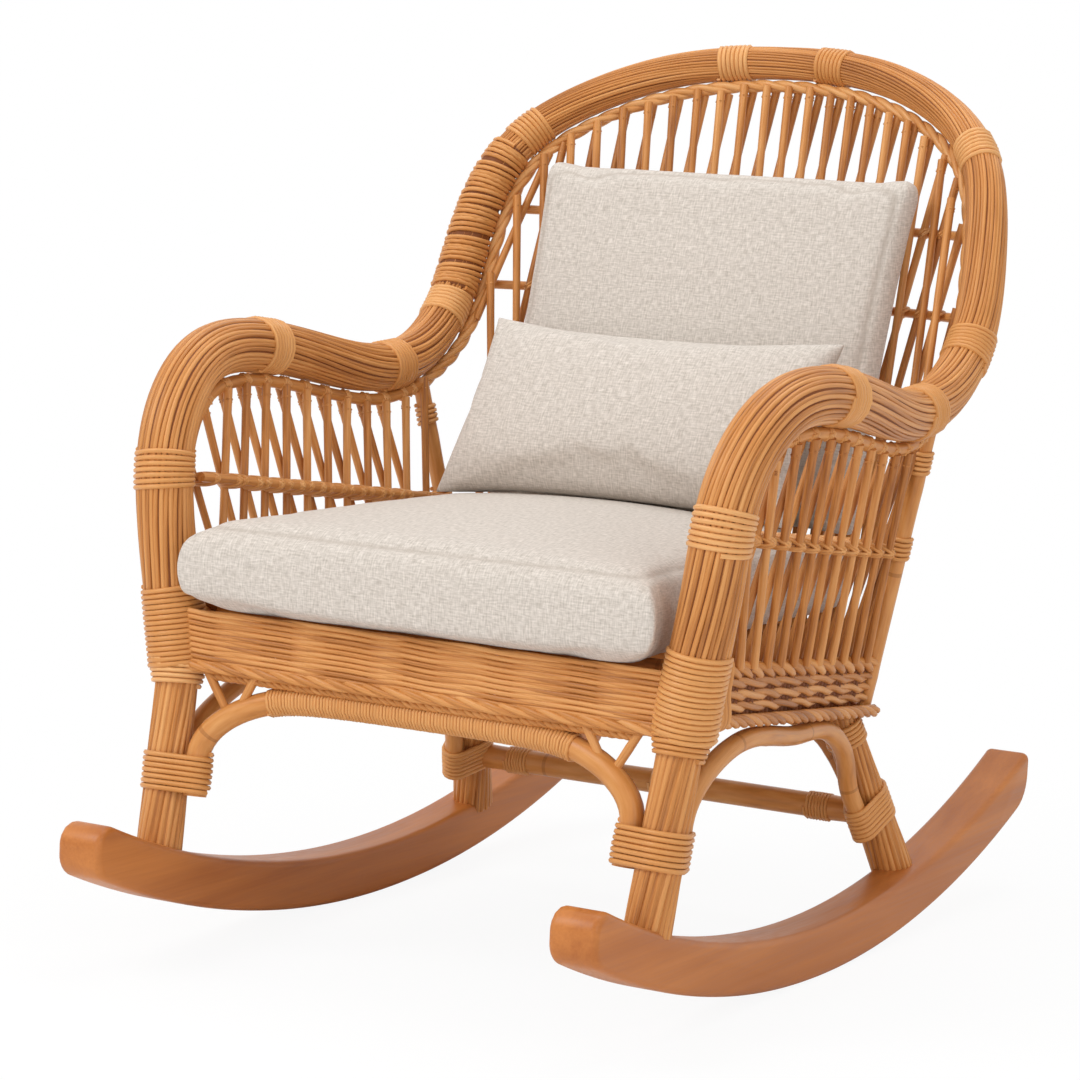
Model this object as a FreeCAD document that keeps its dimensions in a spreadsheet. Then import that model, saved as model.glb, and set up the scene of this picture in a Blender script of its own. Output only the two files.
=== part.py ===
"""Rattan rocking chair: two wooden rockers, bundled rattan frame, reed panels, woven apron, loose cushions.

Millimetres. The chair faces -Y, +X is to the right of someone looking at its front, and the origin lies on
the floor under the middle of the rockers. Right-hand pieces are modelled and left-hand ones are mirrored.
"""
import FreeCAD, Part
import math
import os

import Sketcher
from FreeCAD import Placement, Rotation, Vector

SIZES = (
    ("rocker_radius", 1310, "radius of the running edge"),
    ("rocker_depth", 52, "height of the runner, square to its curve"),
    ("rocker_width", 50, "thickness of the runner"),
    ("rocker_reach", 508, "half the length of the runner along Y"),
    ("rocker_offset", 270, "middle of the chair to the middle of a runner"),
    ("rocker_contact", -2, "Y of the point where the runner touches the floor"),
    ("rocker_edge", 5, "easing of the runner's long edges"),
    ("rocker_nose_lower", 24, "rounding under the nose"),
    ("rocker_nose_upper", 20, "rounding over the nose"),
    ("rocker_tail_lower", 40, "rounding under the tail"),
    ("rocker_tail_upper", 9, "rounding over the tail"),
    ("dowel_diameter", 12, "dowel between a runner and a leg"),
    ("dowel_bore", 12.2, "bore for a dowel"),
    ("dowel_depth", 28, "depth of a dowel in runner and leg"),
    ("front_leg_top", 42, "diameter of a front leg under the seat"),
    ("front_leg_foot", 46, "diameter of a front leg on the runner"),
    ("rear_leg_top", 34, "diameter of a rear leg under the seat"),
    ("rear_leg_foot", 45, "diameter of a rear leg on the runner"),
    ("arm_half_width", 327, "middle of the chair to the middle of an arm"),
    ("arm_height", 593, "top of the arm's centre line"),
    ("arm_dip_height", 563, "low point of the arm's centre line, in front of the back"),
    ("back_height", 911, "top of the back hoop's centre line"),
    ("back_top_y", 395, "Y of the top of the back hoop"),
    ("post_y", -334, "Y of the front posts"),
    ("rail_foot_height", 284, "lower end of the front posts"),
    ("back_lean", 0.28, "rearward lean of the back for each unit of height"),
    ("back_bow", 0.00105, "bow of the back: Y lost for each square of X"),
    ("liner_diameter", 14, "thin pole along the inside of the rail"),
    ("liner_gap", 5, "room for the bindings between rail and liner"),
    ("binding_reed", 3, "thickness of the reed that binds the poles"),
    ("binding_width", 38, "length of a binding along its pole"),
    ("reed_diameter", 8, "reed of the panels"),
    ("reed_layer", 5.6, "middle of the panel to the middle of a layer of reeds"),
    ("side_reeds", 12, "reeds in one layer of a side panel"),
    ("side_lean", 52, "forward or rearward lean of a side reed over its length"),
    ("back_reeds", 20, "reeds in one layer of the back panel"),
    ("back_reed_lean", 62, "sideways lean of a back reed over its length"),
    ("back_fan", 1.2, "spread of the back reeds from sill to hoop"),
    ("girt_diameter", 10, "pole that the reeds are tied to"),
    ("sill_diameter", 13, "pole under the reeds"),
    ("sill_front_x", 290, "middle of the chair to the front end of a side sill"),
    ("sill_front_height", 343, "front end of a side sill"),
    ("sill_rear_height", 291, "rear end of a side sill"),
    ("rear_post_x", 238, "middle of the chair to the foot of a rear post"),
    ("rear_post_y", 163, "Y of the foot of a rear post"),
    ("rear_post_foot", 246, "lower end of the rear posts"),
    ("rear_post_diameter", 18, "rear post"),
    ("girt_wrap_diameter", 23.6, "wrapping on a rear post"),
    ("seat_pole_diameter", 26, "poles of the seat frame"),
    ("seat_pole_front", 318, "height of the seat frame in front"),
    ("seat_pole_rear", 313, "height of the seat frame at the rear"),
    ("slat_diameter", 16, "cross pole under the cushion"),
    ("slat_count", 7, "cross poles under the cushion"),
    ("slat_notch", 3, "depth that a cross pole is notched over the side pole"),
    ("corner_wrap_diameter", 66, "wrapping round the foot of a front post"),
    ("corner_wrap_room", 67.4, "room that the wrapping takes from the poles that meet it"),
    ("apron_row", 9, "woven row of the apron"),
    ("apron_pitch", 11.5, "one woven row to the next"),
    ("apron_border", 14, "rope along the lower edge of the apron"),
    ("apron_front_y", -346, "Y of the front rows of the apron"),
    ("apron_front_height", 288, "height of the rope along the front"),
    ("arch_diameter", 24, "front arch"),
    ("arch_crown", 266, "top of the front arch's centre line"),
    ("arch_wrap_reach", 172, "half the length of the wrapping on the front arch"),
    ("side_arch_diameter", 20, "side and rear arches"),
    ("stretcher_diameter", 26, "pole between the rear legs"),
    ("stretcher_wrap", 32, "binding on the stretcher"),
    ("stretcher_height", 127, "height of the stretcher"),
    ("brace_reed", 9, "short reeds in the corners of the front arch"),
    ("seat_cushion_width", 522, "seat cushion across its front"),
    ("seat_cushion_rear", 446, "seat cushion across its rear"),
    ("seat_cushion_length", 544, "seat cushion, front to rear"),
    ("seat_cushion_edge", 78, "height of the seat cushion at its edge"),
    ("seat_cushion_crown", 17, "rise of the seat cushion's middle over its edge"),
    ("seat_cushion_front", -374, "Y of the seat cushion's front"),
    ("back_cushion_tilt", 17.5, "rearward lean of the back cushion in degrees"),
    ("back_cushion_width", 446, "back cushion across"),
    ("back_cushion_length", 383, "back cushion, bottom to top"),
    ("back_cushion_edge", 50, "thickness of the back cushion at its edge"),
    ("back_cushion_crown", 22, "swell of the back cushion's face"),
    ("pillow_width", 418, "lumbar pillow across"),
    ("pillow_length", 222, "lumbar pillow, bottom to top"),
    ("pillow_thickness", 104, "lumbar pillow in the middle"),
    ("pillow_tilt", 33, "rearward lean of the lumbar pillow in degrees"),
)

doc = FreeCAD.newDocument("RattanRocker")
sheet = doc.addObject("Spreadsheet::Sheet", "Sizes")
for row, (alias, value, meaning) in enumerate(SIZES, 1):
    sheet.set("A%d" % row, meaning)
    sheet.set("B%d" % row, str(value))
    sheet.setAlias("B%d" % row, alias)
doc.recompute()

UP = Vector(0, 0, 1)
RIGHT = Vector(1, 0, 0)
TOUCH = 0.3
RAIL_SIDES = 16
LEG_SIDES = 14
POLE_SIDES = 10
REED_SIDES = 8
nodes = {}


def size(alias):
    return float(sheet.get(alias))


def half_of(alias):
    return size(alias) / 2


def cell(alias, factor=""):
    return "<<Sizes>>.%s%s" % (alias, factor)


def named(label, part):
    """Makes an object of the document a sub-part of the chair."""
    part.Label = label
    nodes[label] = part
    return part


def image(part):
    """Mirror image of an object, on the chair's left."""
    other = doc.addObject("Part::Mirroring", part.Name + "_image")
    other.Source = part
    other.Normal = RIGHT
    return other


def named_pair(label, part):
    named(label + "_right", part)
    named(label + "_left", image(part))
    return part


def formed(name, shape):
    """An object whose form is worked out from the sheet."""
    part = doc.addObject("Part::Feature", name)
    part.Shape = shape
    return part


def gathered(name, parts):
    group = doc.addObject("Part::Compound", name)
    group.Links = parts
    return group


def both(parts):
    return parts + [image(part) for part in parts]


def aim(part, foot, head):
    """Puts a primitive's axis on the line from foot to head."""
    part.Height = (head - foot).Length
    part.Placement = Placement(foot, Rotation(UP, head - foot))
    return part


def straight(name, foot, head, alias, sides=REED_SIDES):
    """A straight pole from foot to head, shaved to a number of flats."""
    part = doc.addObject("Part::Prism", name)
    part.Polygon = sides
    part.setExpression("Circumradius", cell(alias, " / 2"))
    return aim(part, foot, head)


def ring(name, foot, head, outer, inner):
    """A straight wrapping from foot to head."""
    reach = (head - foot) * 0.1
    wrap = straight(name + "_outer", foot, head, outer, POLE_SIDES)
    core = straight(name + "_core", foot - reach, head + reach, inner, POLE_SIDES)
    return fitted(name, wrap, core)


def fitted(name, base, *tools):
    """The base without the room that other pieces take."""
    for number, tool in enumerate(tools, 1):
        cut = doc.addObject("Part::Cut", "%s_fit_%d" % (name, number))
        cut.Base = base
        cut.Tool = tool
        base = cut
    return base


def between(first, second, share):
    return first + (second - first) * share


def at_height(foot, head, z):
    """Point at a height on the line from foot to head."""
    return between(foot, head, (z - foot.z) / (head.z - foot.z))


def opposite(point):
    return Vector(-point.x, point.y, point.z)


def curve_through(points):
    curve = Part.BSplineCurve()
    curve.interpolate([Vector(*point) for point in points])
    return curve


def symmetric_curve(half):
    """Curve through points of the right half, the last of them in the middle, and their mirror images."""
    points = [Vector(*point) for point in half]
    return curve_through(points + [opposite(point) for point in reversed(points[:-1])])


def direction(curve, u):
    return Vector(*curve.tangent(u)[0]).normalize()


def sampled(curve, count):
    start = curve.FirstParameter
    step = (curve.LastParameter - start) / count
    return [curve.value(start + step * number) for number in range(count + 1)]


def stations(curve, start, end, turn=15.0, stride=170.0, samples=120):
    """Parameters from start to end, closer together where the curve bends."""
    chosen = [start]
    heading = direction(curve, start)
    place = curve.value(start)
    for step in range(1, samples):
        u = start + (end - start) * step / samples
        bent = math.degrees(heading.getAngle(direction(curve, u)))
        if bent > turn or (curve.value(u) - place).Length > stride:
            chosen.append(u)
            heading = direction(curve, u)
            place = curve.value(u)
    return chosen + [end]


def through_marks(curve, marks):
    """Stations that take in every mark."""
    chosen = []
    for low, high in zip(marks, marks[1:]):
        chosen += stations(curve, low, high)[:-1]
    return chosen + [marks[-1]]


def even(curve, chosen):
    """Stations of a symmetric curve's first half, carried on over the second half."""
    ends = curve.FirstParameter + curve.LastParameter
    return chosen + [ends - u for u in reversed(chosen[:-1])]


def places_on(curve, chosen):
    return [(curve.value(u), direction(curve, u)) for u in chosen]


def tube(places, radii, sides):
    """A solid through many-sided sections; places are pairs of centre and direction."""
    first = places[0][1]
    across = first.cross(RIGHT if abs(first.x) < 0.8 else UP)
    wires = []
    for (centre, along), radius in zip(places, radii):
        across = (across - along * across.dot(along)).normalize()
        other = along.cross(across)
        corners = []
        for number in range(sides):
            angle = 2 * math.pi * number / sides
            corners.append(centre + across * (radius * math.cos(angle)) + other * (radius * math.sin(angle)))
        wires.append(Part.makePolygon(corners + corners[:1]))
    return Part.makeLoft(wires, True, True)


def pole(curve, radius, chosen, sides=POLE_SIDES):
    """A bent pole of one thickness."""
    return tube(places_on(curve, chosen), [radius] * len(chosen), sides)


def sleeve(places, radii, thick, sides):
    """A wrapping round a bent pole, whose radius is listed for each place."""
    outer = tube(places, [radius + thick for radius in radii], sides)
    ease = 1 / math.cos(math.pi / sides)
    return outer.cut(tube(places, [radius * ease + 0.05 for radius in radii], sides))


def rim(x, y, radius, sides=12):
    """Corners of a many-sided outline round a place."""
    turns = [2 * math.pi * number / sides for number in range(sides)]
    return [Vector(x + radius * math.cos(turn), y + radius * math.sin(turn), 0) for turn in turns]


def outline_of(corners):
    return Part.Face(Part.makePolygon(corners + corners[:1]))


def hull(points):
    """The corners of the line drawn tight round points."""
    ordered = sorted(points, key=lambda p: (p.x, p.y))
    corners = []
    for sweep in (ordered, ordered[::-1]):
        chain = []
        for point in sweep:
            while len(chain) > 1 and (chain[-1] - chain[-2]).cross(point - chain[-1]).z <= 1e-6:
                chain.pop()
            chain.append(point)
        corners += chain[:-1]
    return corners


def lashing(foot, head, middle, height, poles):
    """A binding drawn tight round a pole and its neighbours; poles are pairs of centre and radius."""
    along = (head - foot).normalize()
    across = (RIGHT - along * RIGHT.dot(along)).normalize()
    other = along.cross(across)
    base = at_height(foot, head, middle)
    circles = [((centre - base).dot(across), (centre - base).dot(other), radius) for centre, radius in poles]
    thick = size("binding_reed")
    around = [point for x, y, radius in circles for point in rim(x, y, radius + thick)]
    holes = [outline_of(rim(x, y, (radius + TOUCH) * 1.036)) for x, y, radius in circles]
    block = outline_of(hull(around)).cut(holes).extrude(UP * height)
    block.Placement = Placement(base - along * (height / 2), Rotation(across, other, along, "ZXY"))
    return block


# Rockers: a runner of two concentric arcs with rounded ends, bored for the dowels that hold the legs


def runner_point(y, inset):
    """Point of the runner's side outline at y, a given distance above the running edge."""
    radius = size("rocker_radius") - inset
    return Vector(y, size("rocker_radius") - math.sqrt(radius ** 2 - (y - size("rocker_contact")) ** 2), 0)


def runner_top(y):
    return runner_point(y, size("rocker_depth")).y


def plane_of(body, role):
    return next(f for f in body.Origin.OriginFeatures if getattr(f, "Role", "") == role)


def lies_on(edge, corner):
    """True for the crosswise edge at a corner of the side outline."""
    middle = edge.CenterOfMass
    return edge.BoundBox.XLength > 1 and math.hypot(middle.y - corner.x, middle.z - corner.y) < 1


def runs_along(edge):
    """True for the edges of the runner's two flat sides."""
    return edge.BoundBox.XLength < 1e-3


def round_edges(body, base, name, wanted):
    numbers = [number for number, edge in enumerate(base.Shape.Edges, 1) if wanted(edge)]
    rounding = body.newObject("PartDesign::Fillet", name)
    rounding.Base = (base, ["Edge%d" % number for number in numbers])
    rounding.setExpression("Radius", cell(name))
    doc.recompute()
    return rounding


def ease_edges(body, base, name, wanted):
    numbers = [number for number, edge in enumerate(base.Shape.Edges, 1) if wanted(edge)]
    easing = body.newObject("PartDesign::Chamfer", name)
    easing.Base = (base, ["Edge%d" % number for number in numbers])
    easing.setExpression("Size", cell(name))
    doc.recompute()
    return easing


def make_rocker(name):
    """A runner: two concentric arcs closed by upright ends, padded, then rounded."""
    body = doc.addObject("PartDesign::Body", name)
    outline = body.newObject("Sketcher::SketchObject", "rocker_outline")
    outline.AttachmentSupport = (plane_of(body, "YZ_Plane"), [""])
    outline.MapMode = "FlatFace"
    reach = size("rocker_reach")
    depth = size("rocker_depth")
    nose_low, nose_high = runner_point(-reach, 0), runner_point(-reach, depth)
    tail_low, tail_high = runner_point(reach, 0), runner_point(reach, depth)
    running_edge = outline.addGeometry(Part.Arc(nose_low, runner_point(0, 0), tail_low), False)
    tail = outline.addGeometry(Part.LineSegment(tail_low, tail_high), False)
    upper_edge = outline.addGeometry(Part.Arc(nose_high, runner_point(0, depth), tail_high), False)
    nose = outline.addGeometry(Part.LineSegment(nose_high, nose_low), False)
    joins = (
        (running_edge, 2, tail, 1),
        (tail, 2, upper_edge, 2),
        (upper_edge, 1, nose, 1),
        (nose, 2, running_edge, 1),
    )
    for join in joins:
        outline.addConstraint(Sketcher.Constraint("Coincident", *join))
    for end in (tail, nose):
        outline.addConstraint(Sketcher.Constraint("Vertical", end))
    for name, edge, expression in (
        ("running_radius", running_edge, cell("rocker_radius")),
        ("upper_radius", upper_edge, cell("rocker_radius") + " - " + cell("rocker_depth")),
    ):
        radius = outline.Geometry[edge].Radius
        number = outline.addConstraint(Sketcher.Constraint("Radius", edge, radius))
        outline.renameConstraint(number, name)
        outline.setExpression("Constraints." + name, expression)
    base = body.newObject("PartDesign::Pad", "rocker_pad")
    base.Profile = outline
    base.setExpression("Length", cell("rocker_width"))
    base.Midplane = True
    doc.recompute()
    base = round_edges(body, base, "rocker_nose_lower", lambda edge: lies_on(edge, nose_low))
    base = round_edges(body, base, "rocker_nose_upper", lambda edge: lies_on(edge, nose_high))
    base = round_edges(body, base, "rocker_tail_lower", lambda edge: lies_on(edge, tail_low))
    base = round_edges(body, base, "rocker_tail_upper", lambda edge: lies_on(edge, tail_high))
    body.Tip = ease_edges(body, base, "rocker_edge", runs_along)
    body.Placement = Placement(Vector(size("rocker_offset"), 0, 0), Rotation())
    return body


FRONT_FOOT = Vector(273, -371, runner_top(-371) - 8)
FRONT_HEAD = Vector(282, size("post_y"), size("rail_foot_height") + 8)
REAR_FOOT = Vector(261, 222, runner_top(222) - 14)
REAR_HEAD = at_height(REAR_FOOT, Vector(216, 122, 268), 312)


def dowel(name, foot, head, alias, spare=0.0):
    """A dowel on a leg's axis, half of it in the runner."""
    along = (head - foot).normalize()
    middle = at_height(foot, head, runner_top(foot.y) + 4)
    reach = along * (size("dowel_depth") + spare)
    return straight(name, middle - reach, middle + reach, alias)


front_bore = dowel("front_bore", FRONT_FOOT, FRONT_HEAD, "dowel_bore", 0.5)
rear_bore = dowel("rear_bore", REAR_FOOT, REAR_HEAD, "dowel_bore", 0.5)
front_dowel = dowel("front_dowel", FRONT_FOOT, FRONT_HEAD, "dowel_diameter")
rear_dowel = dowel("rear_dowel", REAR_FOOT, REAR_HEAD, "dowel_diameter")
named("leg_dowels", gathered("dowels", both([front_dowel, rear_dowel])))
named_pair("rocker", fitted("rocker", make_rocker("runner"), front_bore, rear_bore))

# Thick rail: one line from post to post, thickest at the posts and thinnest over the back


def rail_half():
    """Centre line of the rail from the foot of the right post to the top of the back."""
    wide = size("arm_half_width")
    post = size("post_y")
    arm = size("arm_height")
    dip = size("arm_dip_height")
    top = size("back_height")
    rear = size("back_top_y")
    return [
        (wide - 45, post, size("rail_foot_height")),
        (wide - 34, post, size("rail_foot_height") + 71),
        (wide - 23, post, arm - 168),
        (wide - 14, post + 12, arm - 78),
        (wide - 5, post + 69, arm - 16),
        (wide, post + 159, arm),
        (wide - 6, post + 304, arm - 20),
        (wide - 13, post + 424, dip),
        (wide - 13, rear - 235, dip + 21),
        (wide - 12, rear - 180, dip + 71),
        (wide - 18, rear - 145, top - 189),
        (wide - 44, rear - 104, top - 105),
        (wide - 105, rear - 55, top - 50),
        (wide - 202, rear - 17, top - 12),
        (0, rear, top),
    ]


RAIL = symmetric_curve(rail_half())
RAIL_TAPER = ((0, 29), (0.3, 28), (0.5, 26), (0.62, 23.5), (0.8, 20), (1, 18.2))
CORNER_WRAP = 0.06
SPLICE = 0.6
BINDINGS = (0.143, 0.33, 0.5, 0.6, 0.77, 0.955)


def rail_at(share):
    """Parameter of the rail at a share of its right half, from 0 at the post to 1 at the top."""
    return RAIL.FirstParameter + (RAIL.LastParameter - RAIL.FirstParameter) * share / 2


def rail_radius(u):
    share = 2 * (u - RAIL.FirstParameter) / (RAIL.LastParameter - RAIL.FirstParameter)
    for (low, thick), (high, thin) in zip(RAIL_TAPER, RAIL_TAPER[1:]):
        if share <= high:
            return thick + (thin - thick) * (share - low) / (high - low)
    return rail_radius(RAIL.FirstParameter + RAIL.LastParameter - u)


def rail_places(chosen):
    return places_on(RAIL, chosen), [rail_radius(u) for u in chosen]


def binding_marks(share):
    """Both ends of a binding, and the splice if it covers that, as parameters of the rail."""
    u = rail_at(share)
    reach = half_of("binding_width") / Vector(*RAIL.getD1(u)[1]).Length
    return [u - reach, u, u + reach] if share == SPLICE else [u - reach, u + reach]


rail_marks = [rail_at(0), rail_at(CORNER_WRAP), rail_at(1)]
for share in BINDINGS:
    rail_marks += binding_marks(share)
rail_marks.sort()
splice = rail_at(SPLICE)
arm_stations = through_marks(RAIL, [u for u in rail_marks if u <= splice])
hoop_stations = even(RAIL, through_marks(RAIL, [u for u in rail_marks if u >= splice]))
arm_rail = named_pair("arm_rail", formed("arm", tube(*rail_places(arm_stations), RAIL_SIDES)))
named("back_rail", formed("hoop", tube(*rail_places(hoop_stations), RAIL_SIDES)))
bands = []
for share in BINDINGS:
    band = sleeve(*rail_places(binding_marks(share)), size("binding_reed"), RAIL_SIDES)
    bands.append(formed("rail_binding", band))
named("rail_bindings", gathered("bands", both(bands)))

RAIL_FOOT = RAIL.value(rail_at(0))
RAIL_RISE = direction(RAIL, rail_at(0))
WRAP_HEAD = RAIL.value(rail_at(CORNER_WRAP))
wrap_thick = half_of("corner_wrap_diameter") - RAIL_TAPER[0][1]
wrap_places, wrap_radii = rail_places(stations(RAIL, rail_at(0), rail_at(CORNER_WRAP)))
named_pair("corner_wrap_front", formed("corner_wrap", sleeve(wrap_places, wrap_radii, wrap_thick, RAIL_SIDES)))
below_wrap = between(RAIL_FOOT, WRAP_HEAD, -0.3)
above_wrap = between(RAIL_FOOT, WRAP_HEAD, 1.3)
wrap_room = straight("wrap_room", below_wrap, above_wrap, "corner_wrap_room", RAIL_SIDES)
wrap_rooms = both([wrap_room])

# Legs: cones between the runner and the post or the seat frame

TRIM = 120


def slab(name, point, outward):
    """A block with one face through a point, lying on the outward side of it."""
    block = doc.addObject("Part::Box", name)
    block.Length = block.Width = block.Height = TRIM
    centred = Placement(Vector(-TRIM / 2, -TRIM / 2, 0), Rotation())
    block.Placement = Placement(point, Rotation(UP, outward)) * centred
    return block


def runner_slab(name, foot, alias):
    """The room under a leg, down from the runner's upper face."""
    reach = half_of(alias)
    ahead = Vector(foot.x, foot.y - reach, runner_top(foot.y - reach) + 0.05)
    behind = Vector(foot.x, foot.y + reach, runner_top(foot.y + reach) + 0.05)
    return slab(name, ahead, (behind - ahead).cross(RIGHT))


def leg(kind, foot, head, head_slab, bore):
    along = (head - foot).normalize()
    shape = tube([(foot, along), (head, along)], [half_of(kind + "_foot"), half_of(kind + "_top")], LEG_SIDES)
    foot_slab = runner_slab(kind + "_under", foot, kind + "_foot")
    return named_pair(kind, fitted(kind, formed(kind + "_pole", shape), foot_slab, head_slab, bore))


REAR_LEG_TOP = size("seat_pole_rear") - half_of("seat_pole_diameter")
front_over = slab("front_leg_over", RAIL_FOOT, RAIL_RISE)
rear_over = slab("rear_leg_over", at_height(REAR_FOOT, REAR_HEAD, REAR_LEG_TOP), UP)
leg("front_leg", FRONT_FOOT, FRONT_HEAD, front_over, front_bore)
leg("rear_leg", REAR_FOOT, REAR_HEAD, rear_over, rear_bore)

# Rear posts, and the liners along the inside of the arms and of the hoop

LINER_RADIUS = half_of("liner_diameter")
SIDE_OUT = Vector(1, 0, -0.15).normalize()
POST_FOOT = Vector(size("rear_post_x"), size("rear_post_y"), size("rear_post_foot"))
POST_HEAD = Vector(308, 138, 560)
POST_RADIUS = half_of("rear_post_diameter")
post_pole = straight("rear_post_pole", POST_FOOT, POST_HEAD, "rear_post_diameter", POLE_SIDES)
rear_post = named_pair("rear_post", fitted("rear_post", post_pole, arm_rail))


def post_at(z):
    return at_height(POST_FOOT, POST_HEAD, z)


def beside_rail(u, outward):
    """Centre of the liner beside the rail, on the panel's side."""
    inward = direction(RAIL, u).cross(outward).normalize()
    return RAIL.value(u) + inward * (rail_radius(u) + size("liner_gap") + LINER_RADIUS)


def back_y(x, z):
    """The back's bowed and leaning surface."""
    return size("back_top_y") - size("back_lean") * (size("back_height") - z) - size("back_bow") * x * x


def back_out(x):
    return Vector(2 * size("back_bow") * x, 1, -size("back_lean")).normalize()


def liner_at(share):
    """Centre of the liner at a share of the rail, which edges the side panel and, past the rear post, the back."""
    u = rail_at(share)
    turned = min(max((share - 0.47) / 0.17, 0), 1)
    return beside_rail(u, SIDE_OUT * (1 - turned) + back_out(RAIL.value(u).x) * turned)


LINER_FOOT, LINER_SPLIT, LINER_STEPS = 0.065, 0.533, 11


def liner_points(low, high):
    return [liner_at(low + (high - low) * step / LINER_STEPS) for step in range(LINER_STEPS + 1)]


hoop_points = liner_points(LINER_SPLIT, 1)
hoop_points[-1].x = 0
ARM_LINER = curve_through(liner_points(LINER_FOOT, LINER_SPLIT))
BACK_LINER = symmetric_curve(hoop_points)
arm_stations = stations(ARM_LINER, ARM_LINER.FirstParameter, ARM_LINER.LastParameter)
arm_pole = formed("arm_liner_pole", pole(ARM_LINER, LINER_RADIUS, arm_stations, REED_SIDES))
named_pair("arm_liner", fitted("arm_liner", arm_pole, post_pole))
hoop_middle = (BACK_LINER.FirstParameter + BACK_LINER.LastParameter) / 2
hoop_half = stations(BACK_LINER, BACK_LINER.FirstParameter, hoop_middle)
hoop_pole = pole(BACK_LINER, LINER_RADIUS, even(BACK_LINER, hoop_half), REED_SIDES)
named("back_liner", fitted("back_liner", formed("hoop_liner", hoop_pole), *both([post_pole])))

# Sills, and the poles that the reeds are tied to

SILL_FRONT = Vector(size("sill_front_x"), size("post_y"), size("sill_front_height"))
SILL_REAR = post_at(size("sill_rear_height"))
side_sill_pole = straight("side_sill_pole", SILL_FRONT, SILL_REAR, "sill_diameter")
named_pair("side_sill", fitted("side_sill", side_sill_pole, wrap_room, post_pole))


def bow(name, half_width, z, radius, setback=0.0, steps=8):
    """A bowed pole across the back at one height, set back from the panel's surface."""
    places = []
    for step in range(steps + 1):
        x = half_width * (2 * step / steps - 1)
        slope = -2 * size("back_bow") * x
        places.append((Vector(x, back_y(x, z) + setback, z), Vector(1, slope, 0).normalize()))
    return formed(name, tube(places, [radius] * len(places), REED_SIDES))


def inside_posts(z):
    """Half the room between the rear posts at a height."""
    return post_at(z).x - POST_RADIUS - 4


back_sill_height = size("sill_rear_height")
named("back_sill", bow("rear_sill", inside_posts(back_sill_height), back_sill_height, half_of("sill_diameter")))

REED = half_of("reed_diameter")
LAYER = size("reed_layer")
GIRT_RADIUS = half_of("girt_diameter")
GIRT_DEPTH = LAYER + REED + GIRT_RADIUS + TOUCH
BACK_GIRTS = ((470, 258), (565, 272), (650, 275), (735, 268))
girt_front = Vector(302, -300, 466) - SIDE_OUT * GIRT_DEPTH
girt_rear = Vector(274, 150, 414) - SIDE_OUT * GIRT_DEPTH
girt_pole = straight("side_girt_pole", girt_front, girt_rear, "girt_diameter")
named_pair("side_girt", fitted("side_girt", girt_pole, arm_rail))
girts = [bow("back_girt", half_width, z, GIRT_RADIUS, GIRT_DEPTH + 1.6) for z, half_width in BACK_GIRTS]
named("back_girts", gathered("girts", girts))

# Reed panels: two layers of straight reeds that cross, their ends let into liner and sill

arm_samples = sampled(ARM_LINER, 200)
arm_samples += [between(POST_FOOT, POST_HEAD, step / 120) for step in range(121)]
hoop_samples = sampled(BACK_LINER, 300)


def reed(name, foot, aim_point, samples):
    """A reed from its foot to where its line comes nearest to the pole that takes its head."""
    line = [between(foot, aim_point, 0.3 + step / 80) for step in range(64)]
    head = min(line, key=lambda p: min((p - q).Length for q in samples))
    return straight(name, foot, head, "reed_diameter")


def liner_over(y):
    """Point of the arm liner above y, or straight on from its ends."""
    upper = [p for p in arm_samples if p.z > size("arm_height") - 100]
    near = min(upper, key=lambda p: abs(p.y - y))
    return Vector(near.x, y, near.z)


def side_reeds():
    first = size("post_y") + 62
    last = size("rear_post_y") - 40
    count = int(size("side_reeds"))
    reeds = []
    for layer in (1, -1):
        offset = SIDE_OUT * (layer * LAYER)
        for number in range(count):
            y = first + (last - first) * number / (count - 1)
            foot = between(SILL_FRONT, SILL_REAR, (y - SILL_FRONT.y) / (SILL_REAR.y - SILL_FRONT.y))
            head = liner_over(y - layer * size("side_lean"))
            reeds.append(reed("side_reed", foot + offset, head + offset, arm_samples))
    return reeds


def back_reeds():
    count = int(size("back_reeds"))
    reach = size("rear_post_x") - 20
    low = size("sill_rear_height")
    high = size("back_height") + 12
    reeds = []
    for layer in (1, -1):
        for number in range(count):
            foot_x = reach * (2 * number / (count - 1) - 1)
            head_x = foot_x * size("back_fan") + layer * size("back_reed_lean")
            foot = Vector(foot_x, back_y(foot_x, low), low) + back_out(foot_x) * (layer * LAYER)
            head = Vector(head_x, back_y(head_x, high), high) + back_out(head_x) * (layer * LAYER)
            reeds.append(reed("back_reed", foot, head, hoop_samples))
    left_foot = opposite(post_at(335)) + Vector(0, 10, 0)
    for foot, head_x, layer in ((post_at(335), 227, -1), (post_at(445), 250, -1), (left_foot, -227, 1)):
        head = Vector(head_x, back_y(head_x, high), high) + back_out(head_x) * (layer * LAYER)
        reeds.append(reed("post_reed", foot, head, hoop_samples))
    inset = back_out(-270) * 4
    foot, head = [opposite(liner_at(share)) - inset for share in (0.6, 0.77)]
    reeds.append(straight("edge_reed", foot, head, "reed_diameter"))
    return reeds


side_panel = side_reeds()
named_pair("side_lattice", gathered("side_panel", side_panel))
named("back_lattice", gathered("back_panel", back_reeds()))

# Seat frame: four poles and the cross poles that carry the cushion

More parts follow.
